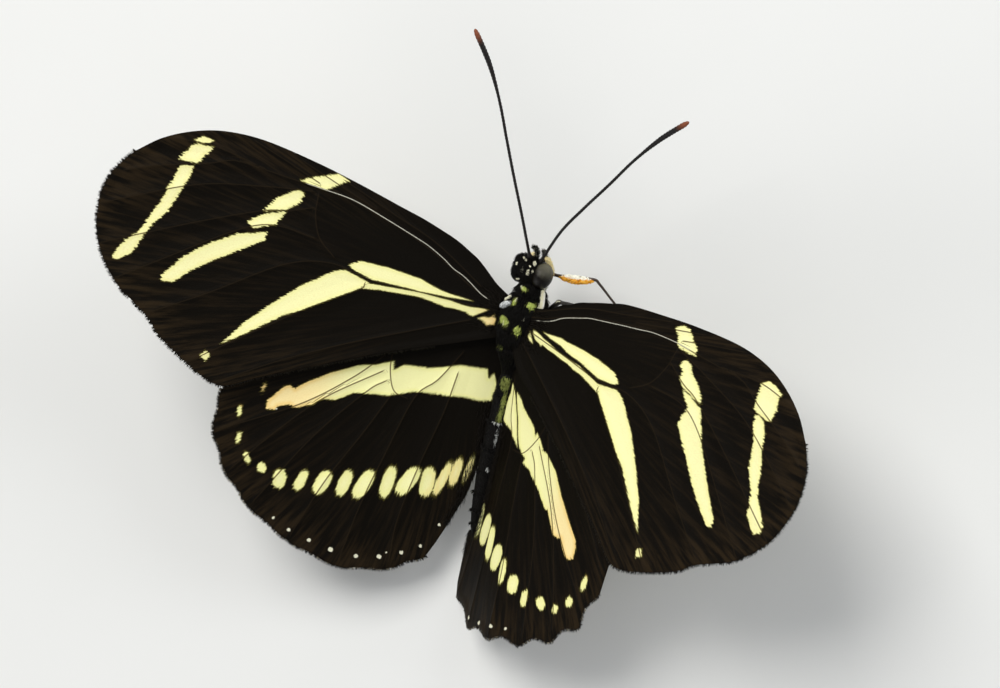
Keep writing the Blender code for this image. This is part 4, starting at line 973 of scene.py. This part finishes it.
RIGHT_PALE = BOTH_PALE + (
    ((19.2, 6.0), (20.0, 6.5), (20.8, 6.4), (21.3, 6.0), (21.7, 5.5), (22.2, 5.2), (22.6, 4.3), (21.8, 4.2),
     (20.4, 4.3), (20.0, 4.8), (19.8, 5.3)),
    ((21.2, 3.0), (21.4, 3.4), (21.8, 3.6), (22.4, 3.3), (22.8, 2.7), (23.5, 2.1), (24.2, 1.6), (24.9, 0.8),
     (25.2, 0.2), (22.3, 1.1), (21.8, 1.7), (21.8, 2.4), (21.4, 2.7)),
    ((22.5, 0.9), (23.7, 0.5), (25.3, -0.1), (25.9, -1.4), (27.1, -3.5), (28.1, -5.0), (29.3, -6.7), (31.2, -9.2),
     (31.1, -9.9), (30.5, -9.9), (28.9, -8.5), (27.2, -6.8), (25.7, -5.0), (24.6, -3.8), (23.5, -2.6), (23.4, -2.2),
     (23.5, -1.3), (23.8, -1.0), (23.8, -0.5), (23.1, 0.1)),
    ((30.5, 4.6), (31.2, 5.1), (32.2, 4.9), (33.1, 4.4), (32.9, 3.9), (33.1, 2.9), (33.0, 2.2), (33.1, 1.7),
     (32.4, 1.6), (31.7, 1.8), (31.1, 1.9), (30.7, 2.2), (30.7, 2.9), (30.5, 3.7)),
    ((31.1, 1.7), (31.7, 1.7), (32.3, 1.4), (32.8, 0.4), (33.1, -0.4), (33.3, -1.2), (33.8, -2.3), (34.1, -3.4),
     (34.3, -4.3), (34.7, -5.3), (35.5, -6.3), (36.3, -7.4), (36.6, -8.2), (35.8, -8.7), (35.1, -8.1), (34.3, -7.2),
     (34.2, -6.2), (33.9, -5.3), (33.3, -4.3), (32.6, -3.3), (32.3, -2.0), (32.0, -0.6), (31.3, 0.7)),
    ((15.4, -1.4), (14.5, -0.6), (12.1, -0.1), (9.6, 0.1), (8.8, 0.1), (7.9, 0.1), (7.0, 0.2), (6.2, 0.1),
     (5.4, 0.0), (4.8, 0.0), (5.9, -0.3), (7.4, -0.5), (8.3, -0.8), (9.3, -1.0), (10.2, -1.1), (12.9, -1.8),
     (14.8, -1.7)),
    ((13.2, -2.3), (10.4, -1.5), (9.5, -1.4), (8.6, -1.3), (7.2, -1.1), (6.2, -0.8), (5.2, -0.6), (4.3, -0.3),
     (3.6, -0.2), (3.9, -0.7), (4.3, -1.1), (4.8, -1.2), (5.1, -1.4), (5.3, -1.2), (6.1, -1.4), (7.0, -1.5),
     (7.9, -1.7), (8.9, -1.8), (9.8, -2.1), (10.7, -2.2), (11.9, -2.6), (13.7, -3.2)),
    ((3.4, -0.5), (3.3, -1.1), (3.6, -1.4), (4.0, -1.5), (4.1, -1.5), (3.6, -0.8)),
)
# Tips of the hindwings' veins at the margin, their front edge, and their veins.
LEFT_TIPS = ((22.3, -18.6), (21.7, -22.8), (19.3, -26.3), (16.2, -28.6), (11.7, -30.3), (6.6, -30.8), (2.0, -28.9),
             (-0.8, -26.2))
RIGHT_TIPS = ((22.4, -20.3), (21.6, -24.4), (19.1, -27.1), (15.7, -29.1), (11.7, -30.2), (6.6, -30.8), (2.0, -28.9))
HIND_FRONT = ((3.2, -1.6), (6.5, -2.0), (10.5, -3.2), (14.5, -5.4), (18.0, -8.6), (20.4, -12.0), (21.8, -15.4))
HIND_VEINS = (
    ((4.0, -2.9), (10.0, -4.6), (15.8, -8.0), (19.6, -12.6), (21.3, -16.6)),
    ((3.0, -3.7), (8.0, -6.9), (13.5, -10.6), (18.3, -14.8), (21.8, -18.4)),
    ((9.6, -8.9), (11.6, -12.3), (15.2, -16.9), (21.2, -22.5)),
    ((9.2, -10.4), (13.3, -15.3), (16.2, -20.2), (18.9, -25.7)),
    ((8.6, -11.2), (9.9, -13.0), (13.0, -19.5), (15.9, -28.0)),
    ((7.7, -12.4), (8.8, -17.0), (10.4, -23.0), (11.6, -29.7)),
    ((3.0, -5.4), (4.2, -9.0), (5.6, -11.6), (6.2, -18.0), (6.6, -24.0), (6.6, -30.2)),
    ((9.0, -8.2), (8.6, -10.0), (7.6, -11.8), (6.2, -12.0)),
    ((2.7, -7.6), (2.6, -12.0), (2.9, -18.0), (2.9, -24.0), (2.2, -28.3)),
)
# The hindwings' pale band; spots as place, width, length and heading; dots as place and radius.
LEFT_BAND = (
    ((18.0, -18.4), (18.0, -17.8), (17.7, -17.1), (17.2, -16.1), (17.0, -15.8), (16.6, -15.5), (16.1, -15.7),
     (15.8, -15.2), (15.2, -14.4), (14.4, -13.6), (13.6, -12.7), (12.4, -11.7), (11.5, -10.9), (10.5, -10.3),
     (10.0, -10.1), (8.6, -9.0), (8.3, -9.9), (7.6, -9.0), (5.2, -8.2), (2.7, -6.7), (0.3, -6.0), (-0.1, -6.9),
     (-0.4, -6.1), (-1.0, -7.1), (-1.1, -8.8), (-0.1, -9.3), (1.4, -9.6), (3.1, -10.2), (5.7, -11.0), (7.9, -12.5),
     (9.1, -12.9), (9.7, -13.2), (10.0, -13.2), (11.0, -13.7), (11.8, -14.6), (12.3, -15.1), (13.2, -15.4),
     (13.8, -15.9), (14.0, -16.4), (14.5, -16.7), (15.2, -17.3), (15.7, -17.5), (16.0, -17.3), (16.4, -17.6),
     (17.0, -18.0), (17.1, -18.4), (17.8, -18.7)),
)
RIGHT_BAND = (
    ((2.8, -6.1), (3.4, -6.5), (4.1, -7.5), (5.3, -9.4), (6.5, -11.6), (6.1, -11.3), (4.9, -10.4), (3.5, -10.2),
     (2.8, -9.8), (2.6, -9.0), (2.7, -8.1), (2.9, -7.1)),
    ((3.9, -6.7), (4.7, -7.1), (5.5, -7.8), (6.6, -8.4), (7.6, -9.0), (8.0, -9.5), (8.2, -9.7), (8.2, -9.3),
     (8.8, -9.6), (9.6, -10.4), (9.7, -10.6), (10.3, -10.6), (11.2, -11.2), (12.1, -11.8), (13.7, -13.6),
     (14.9, -14.7), (16.1, -15.8), (17.3, -16.8), (17.7, -17.5), (17.9, -18.5), (17.5, -18.9), (17.0, -18.8),
     (16.3, -18.2), (15.7, -17.4), (15.4, -17.6), (14.7, -17.5), (14.2, -17.0), (13.4, -16.2), (12.9, -15.6),
     (12.6, -15.7), (11.7, -15.0), (11.0, -14.3), (10.1, -13.7), (9.5, -13.4), (9.0, -13.0), (8.0, -12.7),
     (8.0, -12.2), (7.4, -11.9), (6.6, -11.3), (6.1, -10.6), (5.3, -9.1), (4.2, -7.4)),
)
LEFT_SPOTS = ((20.1, -20.0, 0.42, 1.03, 79), (18.8, -16.8, 0.27, 0.85, 93), (19.3, -22.6, 0.46, 1.09, 81),
              (17.9, -24.1, 0.58, 1.16, 59), (16.3, -24.5, 0.84, 1.02, 76), (14.4, -24.8, 1.21, 1.99, 81),
              (12.5, -24.1, 0.92, 2.28, 98), (10.6, -23.4, 1.29, 2.7, 100), (8.7, -22.6, 1.11, 2.87, 94),
              (7.0, -21.9, 1.29, 3.36, 101), (5.0, -20.7, 1.16, 3.4, 88), (3.3, -19.8, 1.39, 3.45, 105),
              (1.6, -19.1, 1.3, 3.1, 84), (0.4, -18.2, 0.83, 3.75, 95), (-0.5, -17.0, 0.88, 2.97, 89),
              (-1.5, -16.2, 0.56, 2.78, 90))
RIGHT_SPOTS = ((2.2, -19.6, 1.24, 3.78, 85), (3.3, -20.4, 1.01, 3.54, 91), (5.1, -20.9, 2.07, 3.35, 79),
               (7.0, -21.7, 1.18, 3.45, 97), (8.8, -22.6, 1.75, 2.75, 87), (10.5, -23.4, 0.88, 2.49, 102),
               (12.3, -24.0, 1.35, 1.87, 104), (14.3, -24.6, 0.93, 1.69, 100), (16.3, -24.2, 1.01, 1.38, 138),
               (18.2, -23.9, 0.67, 0.9, 100), (19.4, -22.6, 0.89, 1.01, 92), (20.2, -20.2, 0.6, 1.44, 96))
LEFT_DOTS = ((-0.9, -22.7, 0.15), (0.0, -25.5, 0.17), (1.4, -26.9, 0.2), (3.2, -28.2, 0.23), (5.2, -29.1, 0.22),
             (7.6, -29.5, 0.24), (9.8, -29.5, 0.2), (11.9, -29.3, 0.19), (13.6, -28.8, 0.16), (2.7, -27.5, 0.11),
             (17.0, -18.3, 0.1))
RIGHT_DOTS = ((4.4, -29.6, 0.2), (6.5, -29.8, 0.23), (9.1, -29.5, 0.24), (11.6, -28.9, 0.21), (13.5, -28.3, 0.16))


def fore_sheet(x, y, side):
    """Middle sheet of a forewing in the wings' frame, from flat plan places."""
    hx, hy = FORE_HINGE
    x, y = turned(x - hx, y - hy, FORE_SWEEP * side)
    return np.stack([side * (x + hx), y + hy, FORE_CLIMB[0] * x + FORE_CLIMB[1] * (y + hy)], axis=-1)


def hind_sheet(x, y, side):
    """Middle sheet of a hindwing; the right one is folded down along the body."""
    hx, hy = HIND_HINGE
    x, y = turned(x - hx, y - hy, HIND_SWEEP * side)
    z = HIND_LEVEL + HIND_CLIMB[0] * x + HIND_CLIMB[1] * y
    x, y = x + hx, y + hy
    if side > 0:
        inside = CREASE * np.log(1 + np.exp((2.2 + 5.8 * (-3.0 - y) / 17 - x) / CREASE))
        z = z - (FOLD_SLOPE * FOLD - HIND_CLIMB[0]) * inside
        x = x + (1 - FOLD) * inside
    return np.stack([side * x, y, z], axis=-1)


def meet_body(sheet, side, y, limit, share):
    """The plan place at this y where the sheet has gone into the body by the share asked."""
    xs = np.arange(9.0, limit, -0.02)
    local = moved(sheet(xs, np.full_like(xs, y), side), BODY.inverted() @ WING)
    wide = np.interp(local[..., 1], FINE, WIDTH, left=0.01, right=0.01)
    high = np.interp(local[..., 1], FINE, HEIGHT, left=0.01, right=0.01)
    hit = np.nonzero(np.hypot(local[..., 0] / wide, local[..., 2] / high) < share)[0]
    return float(xs[hit[0]]) if len(hit) else limit


def evenly(points, count, smooth=True):
    """The line through the points as count + 1 even places."""
    line = np.array([tuple(p)[:2] for p in curve_through([(*p, 0.0) for p in points], 0.25)] if smooth else points)
    gone = np.concatenate([[0], np.cumsum(np.linalg.norm(np.diff(line, axis=0), axis=1))])
    want = np.linspace(0, gone[-1], count + 1)
    return np.stack([np.interp(want, gone, line[:, 0]), np.interp(want, gone, line[:, 1])], -1)


def nearest_of(points, lines):
    """Distance to the nearest of several lines, and the same with a minus on its right-hand side."""
    best = np.full(len(points), 99.0)
    signed = np.full(len(points), 99.0)
    for line in lines:
        for a, b in zip(line, line[1:]):
            way = b - a
            off = points - a
            part = np.clip((off @ way) / max(way @ way, 1e-9), 0, 1)
            far = np.linalg.norm(off - part[:, None] * way, axis=1)
            signed = np.where(far < best, far * np.sign(way[0] * off[:, 1] - way[1] * off[:, 0]), signed)
            best = np.minimum(far, best)
    return best, signed


def shape_depth(points, outline):
    """Distance inside a closed outline, minus outside."""
    ring = np.array(list(outline) + [outline[0]], dtype=float)
    far = nearest_of(points, [ring])[0]
    hit = np.zeros(len(points), dtype=bool)
    for a, b in zip(ring, ring[1:]):
        if a[1] != b[1]:
            cross = (a[1] > points[:, 1]) != (b[1] > points[:, 1])
            hit ^= cross & (points[:, 0] < a[0] + (points[:, 1] - a[1]) / (b[1] - a[1]) * (b[0] - a[0]))
    return np.where(hit, far, -far)


def spot_depth(plan, spot):
    """The same for one rounded, leaning spot: place, width, length and heading."""
    x, y, wide, long, heading = spot
    along, across = turned(plan[:, 0] - x, plan[:, 1] - y, -math.radians(heading))
    far = (np.abs(along / (long / 2)) ** 2.5 + np.abs(across / (wide / 2)) ** 2.5) ** (1 / 2.5)
    return (1 - far) * wide / 2


def pale_depth(plan, outlines, spots):
    """How far inside the nearest pale patch of the wing each place lies."""
    depths = [shape_depth(plan, outline) for outline in outlines] + [spot_depth(plan, spot) for spot in spots]
    return np.maximum(np.max(depths, axis=0), -9.0)


def wing_mesh(name, edges, sheet, side, veins, pale, spots, dots, silver, root, tone_of):
    """Grid of the wing, laid between its edges, doubled, closed at the rim and marked."""
    rear, front, inner, outer = edges
    along, across = len(rear) - 1, len(inner) - 1
    shape = bmesh.new()
    bmesh.ops.create_grid(shape, x_segments=along, y_segments=across, size=0.5)
    copied = bmesh.ops.duplicate(shape, geom=shape.verts[:] + shape.edges[:] + shape.faces[:])["geom"]
    bmesh.ops.translate(shape, verts=[g for g in copied if isinstance(g, bmesh.types.BMVert)], vec=(0, 0, -1))
    bmesh.ops.reverse_faces(shape, faces=[g for g in copied if isinstance(g, bmesh.types.BMFace)])
    bmesh.ops.bridge_loops(shape, edges=[e for e in shape.edges if e.is_boundary])
    mesh = bpy.data.meshes.new(name)
    shape.to_mesh(mesh)
    shape.free()
    grid = corners(mesh)
    u, v, below = grid[:, :1] + 0.5, grid[:, 1:2] + 0.5, grid[:, 2] < -0.5
    iu = np.rint(u[:, 0] * along).astype(int)
    iv = np.rint(v[:, 0] * across).astype(int)
    plan = ((1 - v) * rear[iu] + v * front[iu] + (1 - u) * inner[iv] + u * outer[iv]
            - (1 - u) * (1 - v) * rear[0] - u * (1 - v) * rear[-1] - (1 - u) * v * front[0] - u * v * front[-1])
    vein, rib = nearest_of(plan, [evenly(line, 40) for line in veins])
    vein = np.clip(vein, 0, 2)
    rim = nearest_of(plan, (front, rear, outer))[0]
    near = plan - np.array(root)
    radius = np.linalg.norm(near, axis=1)
    bow = 0.10 * np.minimum(vein, 1.2) * step_up(rim, 0.0, 1.0)
    half = HALF_SHEET * (0.55 + 0.45 * step_up(rim, 0.0, 0.5))
    half += VEIN_RISE * dip(vein, 0, VEIN_HALF) * step_up(rim, 0, 0.4)
    half += ROOT_SWELL * dip(radius, 0, 3.0)
    x, y = plan[:, 0], plan[:, 1]
    normal = unit(np.cross(sheet(x + 0.02, y, side) - sheet(x - 0.02, y, side),
                           sheet(x, y + 0.02, side) - sheet(x, y - 0.02, side)) * side)
    settle(mesh, moved(sheet(x, y, side) + normal * (np.where(below, -half, half) - bow)[:, None], WING))
    depth = pale_depth(plan, pale, spots)
    ahead = pale_depth(plan + near / np.maximum(radius, 0.1)[:, None] * 0.1, pale, spots)
    shine, shine_side = nearest_of(plan, [evenly(silver, 60)] if silver else [])
    dot = np.max([size - np.hypot(x - dot_x, y - dot_y) for dot_x, dot_y, size in dots or ((99, 99, 0),)], axis=0)
    for label, values in (
            ("pale", depth), ("ragged", np.clip(np.abs(ahead - depth) / 0.1, 0, 1)), ("tone", tone_of(plan)),
            ("vein", vein), ("rib", np.clip(rib, -0.4, 0.4)), ("rim", rim), ("under", below), ("dot", dot),
            ("shine", np.clip(shine, 0, 2)), ("shine_side", np.clip(shine_side, -0.4, 0.4))):
        store(mesh, label, values)
    lie = mesh.attributes.new("lie", "FLOAT_VECTOR", "POINT")
    lie.data.foreach_set("vector", np.stack(
        [radius, np.arctan2(near[:, 1], near[:, 0]) * 18.0, below * 7.0], -1).astype(np.float32).ravel())
    spread = np.stack([(x + 4) / 44, (y + 32) / 40 * 0.48 + np.where(below, 0.51, 0.005)], -1)
    layer = mesh.uv_layers.new(name="OFBake")
    index = np.empty(len(mesh.loops), dtype=np.int32)
    mesh.loops.foreach_get("vertex_index", index)
    layer.data.foreach_set("uv", spread[index].astype(np.float32).ravel())
    return mesh


def wing_finish(name, pale_tint, tan_tint):
    """Rows of tiny scales: brown-black ground, streaked to the margin, and pale bands."""
    scales = Finish(name, Roughness=0.6, Specular_IOR_Level=0.045)
    lie = scales.node("ShaderNodeAttribute", {"attribute_name": "lie"}, out=1)

    def along(*stretch):
        return scales.vector("MULTIPLY", lie, stretch)

    streak = scales.noise(along(0.16, 2.6, 1.0), 1.0, 5.0, 0.62)
    fine = scales.noise(along(5.0, 11.0, 1.0), 1.0, 2.0)
    rows = scales.node("ShaderNodeTexVoronoi", {}, {"Vector": along(9.0, 17.0, 1.0), "Scale": 1.0})
    teeth = scales.noise(along(0.9, 9.0, 1.0), 1.0, 3.0, 0.7)
    beads = scales.noise(along(4.0, 1.0, 1.0), 1.0, 3.0, 0.8)
    outward = scales.node("ShaderNodeSeparateXYZ", {}, {0: lie}).between(6.0, 34.0)
    under = scales.value("under")
    margin = (1 - scales.value("rim").between(0.3, 4.5)) * outward
    rib = (1 - scales.value("rib").size().between(0.035, 0.085)) * (1 - scales.value("vein").between(0.22, 0.34))
    ground = scales.mix(streak.between(0.42, 0.70) * outward, (0.0036, 0.0027, 0.0016), (0.013, 0.0084, 0.0040))
    for share, tint in ((streak.between(0.40, 0.66) * margin, (0.021, 0.0133, 0.0060)),
                        (fine.between(0.5, 0.85) * 0.4, (0.008, 0.0064, 0.0046)),
                        (under * 0.55, (0.060, 0.040, 0.024)),
                        (rib * 0.5, (0.018, 0.012, 0.006))):
        ground = scales.mix(share, ground, tint)
    edge = scales.value("pale") + (teeth - 0.5) * (0.18 + 0.85 * scales.value("ragged")) + (fine - 0.5) * 0.16
    tone = scales.value("tone") + (streak - 0.5) * 0.6
    patch = scales.mix(tone.between(0.15, 1.0), pale_tint, tan_tint)
    for share, tint in ((edge.between(0.05, 0.5) * 0.35, (0.93, 0.91, 0.58)),
                        (fine.between(0.4, 0.8) * 0.25, [c * 0.8 for c in tan_tint]),
                        (rib * 0.9, (0.075, 0.042, 0.012))):
        patch = scales.mix(share, patch, tint)
    line = 1 - (scales.value("shine_side").size() + (beads - 0.5) * 0.14).between(0.008, 0.062)
    line = line * (1 - under) * (1 - scales.value("shine").between(0.22, 0.34))
    dot = scales.value("dot") + (fine - 0.5) * 0.16 + (teeth - 0.5) * 0.2
    tint = scales.mix(edge.between(-0.12, -0.01) * 0.5, ground, (0.13, 0.11, 0.02))
    tint = scales.mix(edge.between(-0.03, 0.06), tint, patch)
    tint = scales.mix(line * (0.35 + 0.65 * beads.between(0.38, 0.6)), tint, (0.72, 0.70, 0.58))
    tint = scales.mix(dot.between(-0.03, 0.04), tint, (0.68, 0.66, 0.50))
    return scales.done(Base_Color=tint, Roughness=0.55 + 0.2 * edge.between(0, 0.1),
                       Normal=scales.bump(rows * 0.5 + fine * 0.4 + streak * 0.4, 0.035, 0.7))


def fore_tone(plan):
    """How tan the pale patches of a forewing are: near the root, and a little towards the tip."""
    return 0.9 * dip(plan[:, 0], 0, 3.0) + 0.25 * step_up(plan[:, 0], 14, 30)


def hind_tone(plan):
    """The same for a hindwing: at the band's outer end and in the spots next to the body."""
    x, y = plan[:, 0], plan[:, 1]
    band = step_up(x, 9.0, 17.0) * (y > -19.5) * (y < -8)
    return band + (1 - step_up(x, 0.5, 3.5)) * (y < -15) * 0.5


def wing_tufts(name, slot, material, plan, way, sheet, side, above, sizes, spread, white=HIDDEN):
    """Scale or hair tufts at plan places of a wing, lying along plan ways."""
    shade = draw.uniform(0, 1, len(plan))
    here = sheet(plan[:, 0], plan[:, 1], side)
    east = sheet(plan[:, 0] + 0.02, plan[:, 1], side) - here
    north = sheet(plan[:, 0], plan[:, 1] + 0.02, side) - here
    out = unit(np.cross(east, north) * side)
    lie = (east * way[:, :1] + north * way[:, 1:]) / 0.02 + spread * draw.normal(0, 1, (len(plan), 3))
    tufts(name, slot, material, (here + out * above[:, None], out, laid_on(lie, out)), sizes,
          np.stack([(plan[:, 0] + 4) / 44, (plan[:, 1] + 32) / 40], -1), white, HIDDEN, WING, shade)


def fringe(name, slot, edge, middle, sheet, side, white_share):
    """A row of short scales along a margin, pointing outwards, with whitish ones here and there."""
    gone = np.concatenate([[0], np.cumsum(np.linalg.norm(np.diff(edge, axis=0), axis=1))])
    at = draw.uniform(0, gone[-1], FRINGE_COUNT)
    behind, spot, ahead = [np.stack([np.interp(at + step, gone, edge[:, k]) for k in (0, 1)], -1)
                           for step in (-0.2, 0.0, 0.2)]
    way = unit(np.stack([(ahead - behind)[:, 1], (behind - ahead)[:, 0]], -1))
    way *= np.sign((way * (spot - np.array(middle))).sum(1, keepdims=True))
    wild = draw.uniform(0.6, 1.3, FRINGE_COUNT)
    white = np.where(draw.uniform(0, 1, FRINGE_COUNT) < white_share, SHOWN, HIDDEN)
    above = draw.uniform(-0.03, 0.03, FRINGE_COUNT)
    wing_tufts(name, slot, fringe_scales, spot - way * 0.16, way, sheet, side, above,
               (FRINGE_LONG * wild, 0.07, 0.0), 0.16, white)


def root_hair(name, slot, places, root, sheet, side, long, pale):
    """Fine hair near a wing's root or inner margin, lying outwards over the dark scales."""
    way = unit(places - np.array(root))
    dark = np.maximum(pale_depth(places, pale, ()), pale_depth(places + way * long, pale, ())) < 0.0
    places, way = places[dark], way[dark]
    size = long * draw.uniform(0.6, 1.3, len(places))
    wing_tufts(name, slot, wing_hair, places, way, sheet, side, np.full(len(places), 0.09),
               (size, 0.035, size * 0.16), 0.2)


def scalloped(tips, bay, swell):
    """The hindwing's outer margin: shallow bays between the vein tips."""
    margin = []
    for a, b in zip(tips, tips[1:]):
        a, b = Vector(a), Vector(b)
        inward = Vector(((b - a).y, -(b - a).x)).normalized()
        if inward.dot(Vector(HIND_MIDDLE) - a) < 0:
            inward.negate()
        for k in range(BAY_STEPS):
            t = k / BAY_STEPS
            depth = bay * math.sin(math.pi * t) ** 2 - swell * (b - a).length * t * (1 - t)
            margin.append(tuple(a.lerp(b, t) + inward * depth))
    return margin + [tips[-1]]


FRINGE_COUNT = 1500
FRINGE_LONG = 0.42
FORE_MIDDLE = (20.0, -5.0)
HIND_MIDDLE = (10.0, -15.0)
BAY_STEPS = 12
FORE_ROOT = (-2.3, -1.3, -0.3, 0.7, 1.6)
HIND_ROOT = (-5.4, -4.4, -3.4, -2.4, -1.7)
fore_material = wing_finish("forewing_scale_rows", (0.85, 0.83, 0.37), (0.84, 0.58, 0.22))
hind_material = wing_finish("hindwing_scale_rows", (0.82, 0.81, 0.34), (0.85, 0.61, 0.23))
fringe_scales = hair_finish("fringe_scales", (0.0045, 0.0033, 0.002), (0.6, 0.6, 0.2), (0.34, 0.30, 0.22))
# For each side: the forewing's front edge, silver line and pale patches; the hindwing's vein tips,
# bay and swell of its margin, band, spots, dots, and its inner margin as places back and to the side.
SIDES = (
    (-1, "left", LEFT_FRONT, LEFT_SILVER, LEFT_PALE, LEFT_TIPS, 0.45, 0.4, LEFT_BAND, LEFT_SPOTS, LEFT_DOTS,
     ((-26.2, -24.5, -21.8, -18.6, 0.0), (-0.8, -1.2, -1.7, -2.2, -2.2))),
    (1, "right", RIGHT_FRONT, RIGHT_SILVER, RIGHT_PALE, RIGHT_TIPS, 0.60, 0.0, RIGHT_BAND, RIGHT_SPOTS, RIGHT_DOTS,
     ((-28.9, -27.6, -25.2, -23.2, 0.0), (2.0, 1.5, 1.3, 1.2, 1.2))),
)
for side, label, fore_front, silver, pale, tips, bay, swell, band, spots, dots, inner_margin in SIDES:
    across, along = FORE_GRID[1], FORE_GRID[0]
    root_x = [meet_body(fore_sheet, side, y, -2.0, INTO_BODY) for y in FORE_ROOT]
    inner = evenly(list(zip(root_x, FORE_ROOT)), across)
    rear = evenly(((root_x[0], FORE_ROOT[0]),) + FORE_REAR, along)
    front = evenly(((root_x[-1], FORE_ROOT[-1]),) + fore_front + FORE_FRONT, along)
    outer = evenly(FORE_OUTER, across)
    name, slot = "forewing_sheet_" + label, "forewing_scales"
    piece(name, wing_mesh(name, (rear, front, inner, outer), fore_sheet, side, FORE_VEINS, pale, (), (), silver,
                          (1.0, 0.0), fore_tone), slot, fore_material, "forewing_" + label)
    fringe("forewing_fringe_" + label, slot, np.concatenate([rear[60:], outer[1:]]), FORE_MIDDLE,
           fore_sheet, side, 0.0)
    places = np.stack([root_x[2] + 0.5 + np.abs(draw.normal(0, 1.0, 420)),
                       draw.uniform(FORE_ROOT[0], FORE_ROOT[-1], 420)], -1)
    root_hair("forewing_hair_" + label, slot, places, (root_x[2] - 2.0, -0.3), fore_sheet, side, 0.6, pale)

    inner_line = []
    for y in np.linspace(HIND_ROOT[0], tips[-1][1], 60):
        limit = float(np.interp(y, *inner_margin))
        share = np.interp(y, (-8.0, HIND_ROOT[0]), (1.12, 0.85))
        inner_line.append((meet_body(hind_sheet, side, y, limit, share), y))
    inner_line[-1] = tips[-1]
    root_x = [inner_line[0][0]] + [meet_body(hind_sheet, side, y, -2.0, INTO_BODY) for y in HIND_ROOT[1:]]
    across, along = HIND_GRID[1], HIND_GRID[0]
    rear = evenly(inner_line, along)
    front = evenly(((root_x[-1], HIND_ROOT[-1]),) + HIND_FRONT + tips[:1], along)
    inner = evenly(list(zip(root_x, HIND_ROOT)), across)
    outer = evenly(scalloped(tips, bay, swell)[::-1], across, smooth=False)
    name, slot = "hindwing_sheet_" + label, "hindwing_scales"
    piece(name, wing_mesh(name, (rear, front, inner, outer), hind_sheet, side, HIND_VEINS, band, spots, dots, (),
                          (2.5, -3.0), hind_tone), slot, hind_material, "hindwing_" + label)
    fringe("hindwing_fringe_" + label, slot, outer, HIND_MIDDLE, hind_sheet, side, 0.12)
    pick = draw.integers(0, 150, 900)
    places = rear[pick] + np.stack([np.abs(draw.normal(0.25, 0.45, 900)), draw.normal(0, 0.1, 900)], -1)
    root_hair("hindwing_hair_" + label, slot, places, (1.0, 8.0), hind_sheet, side, 0.7, band)
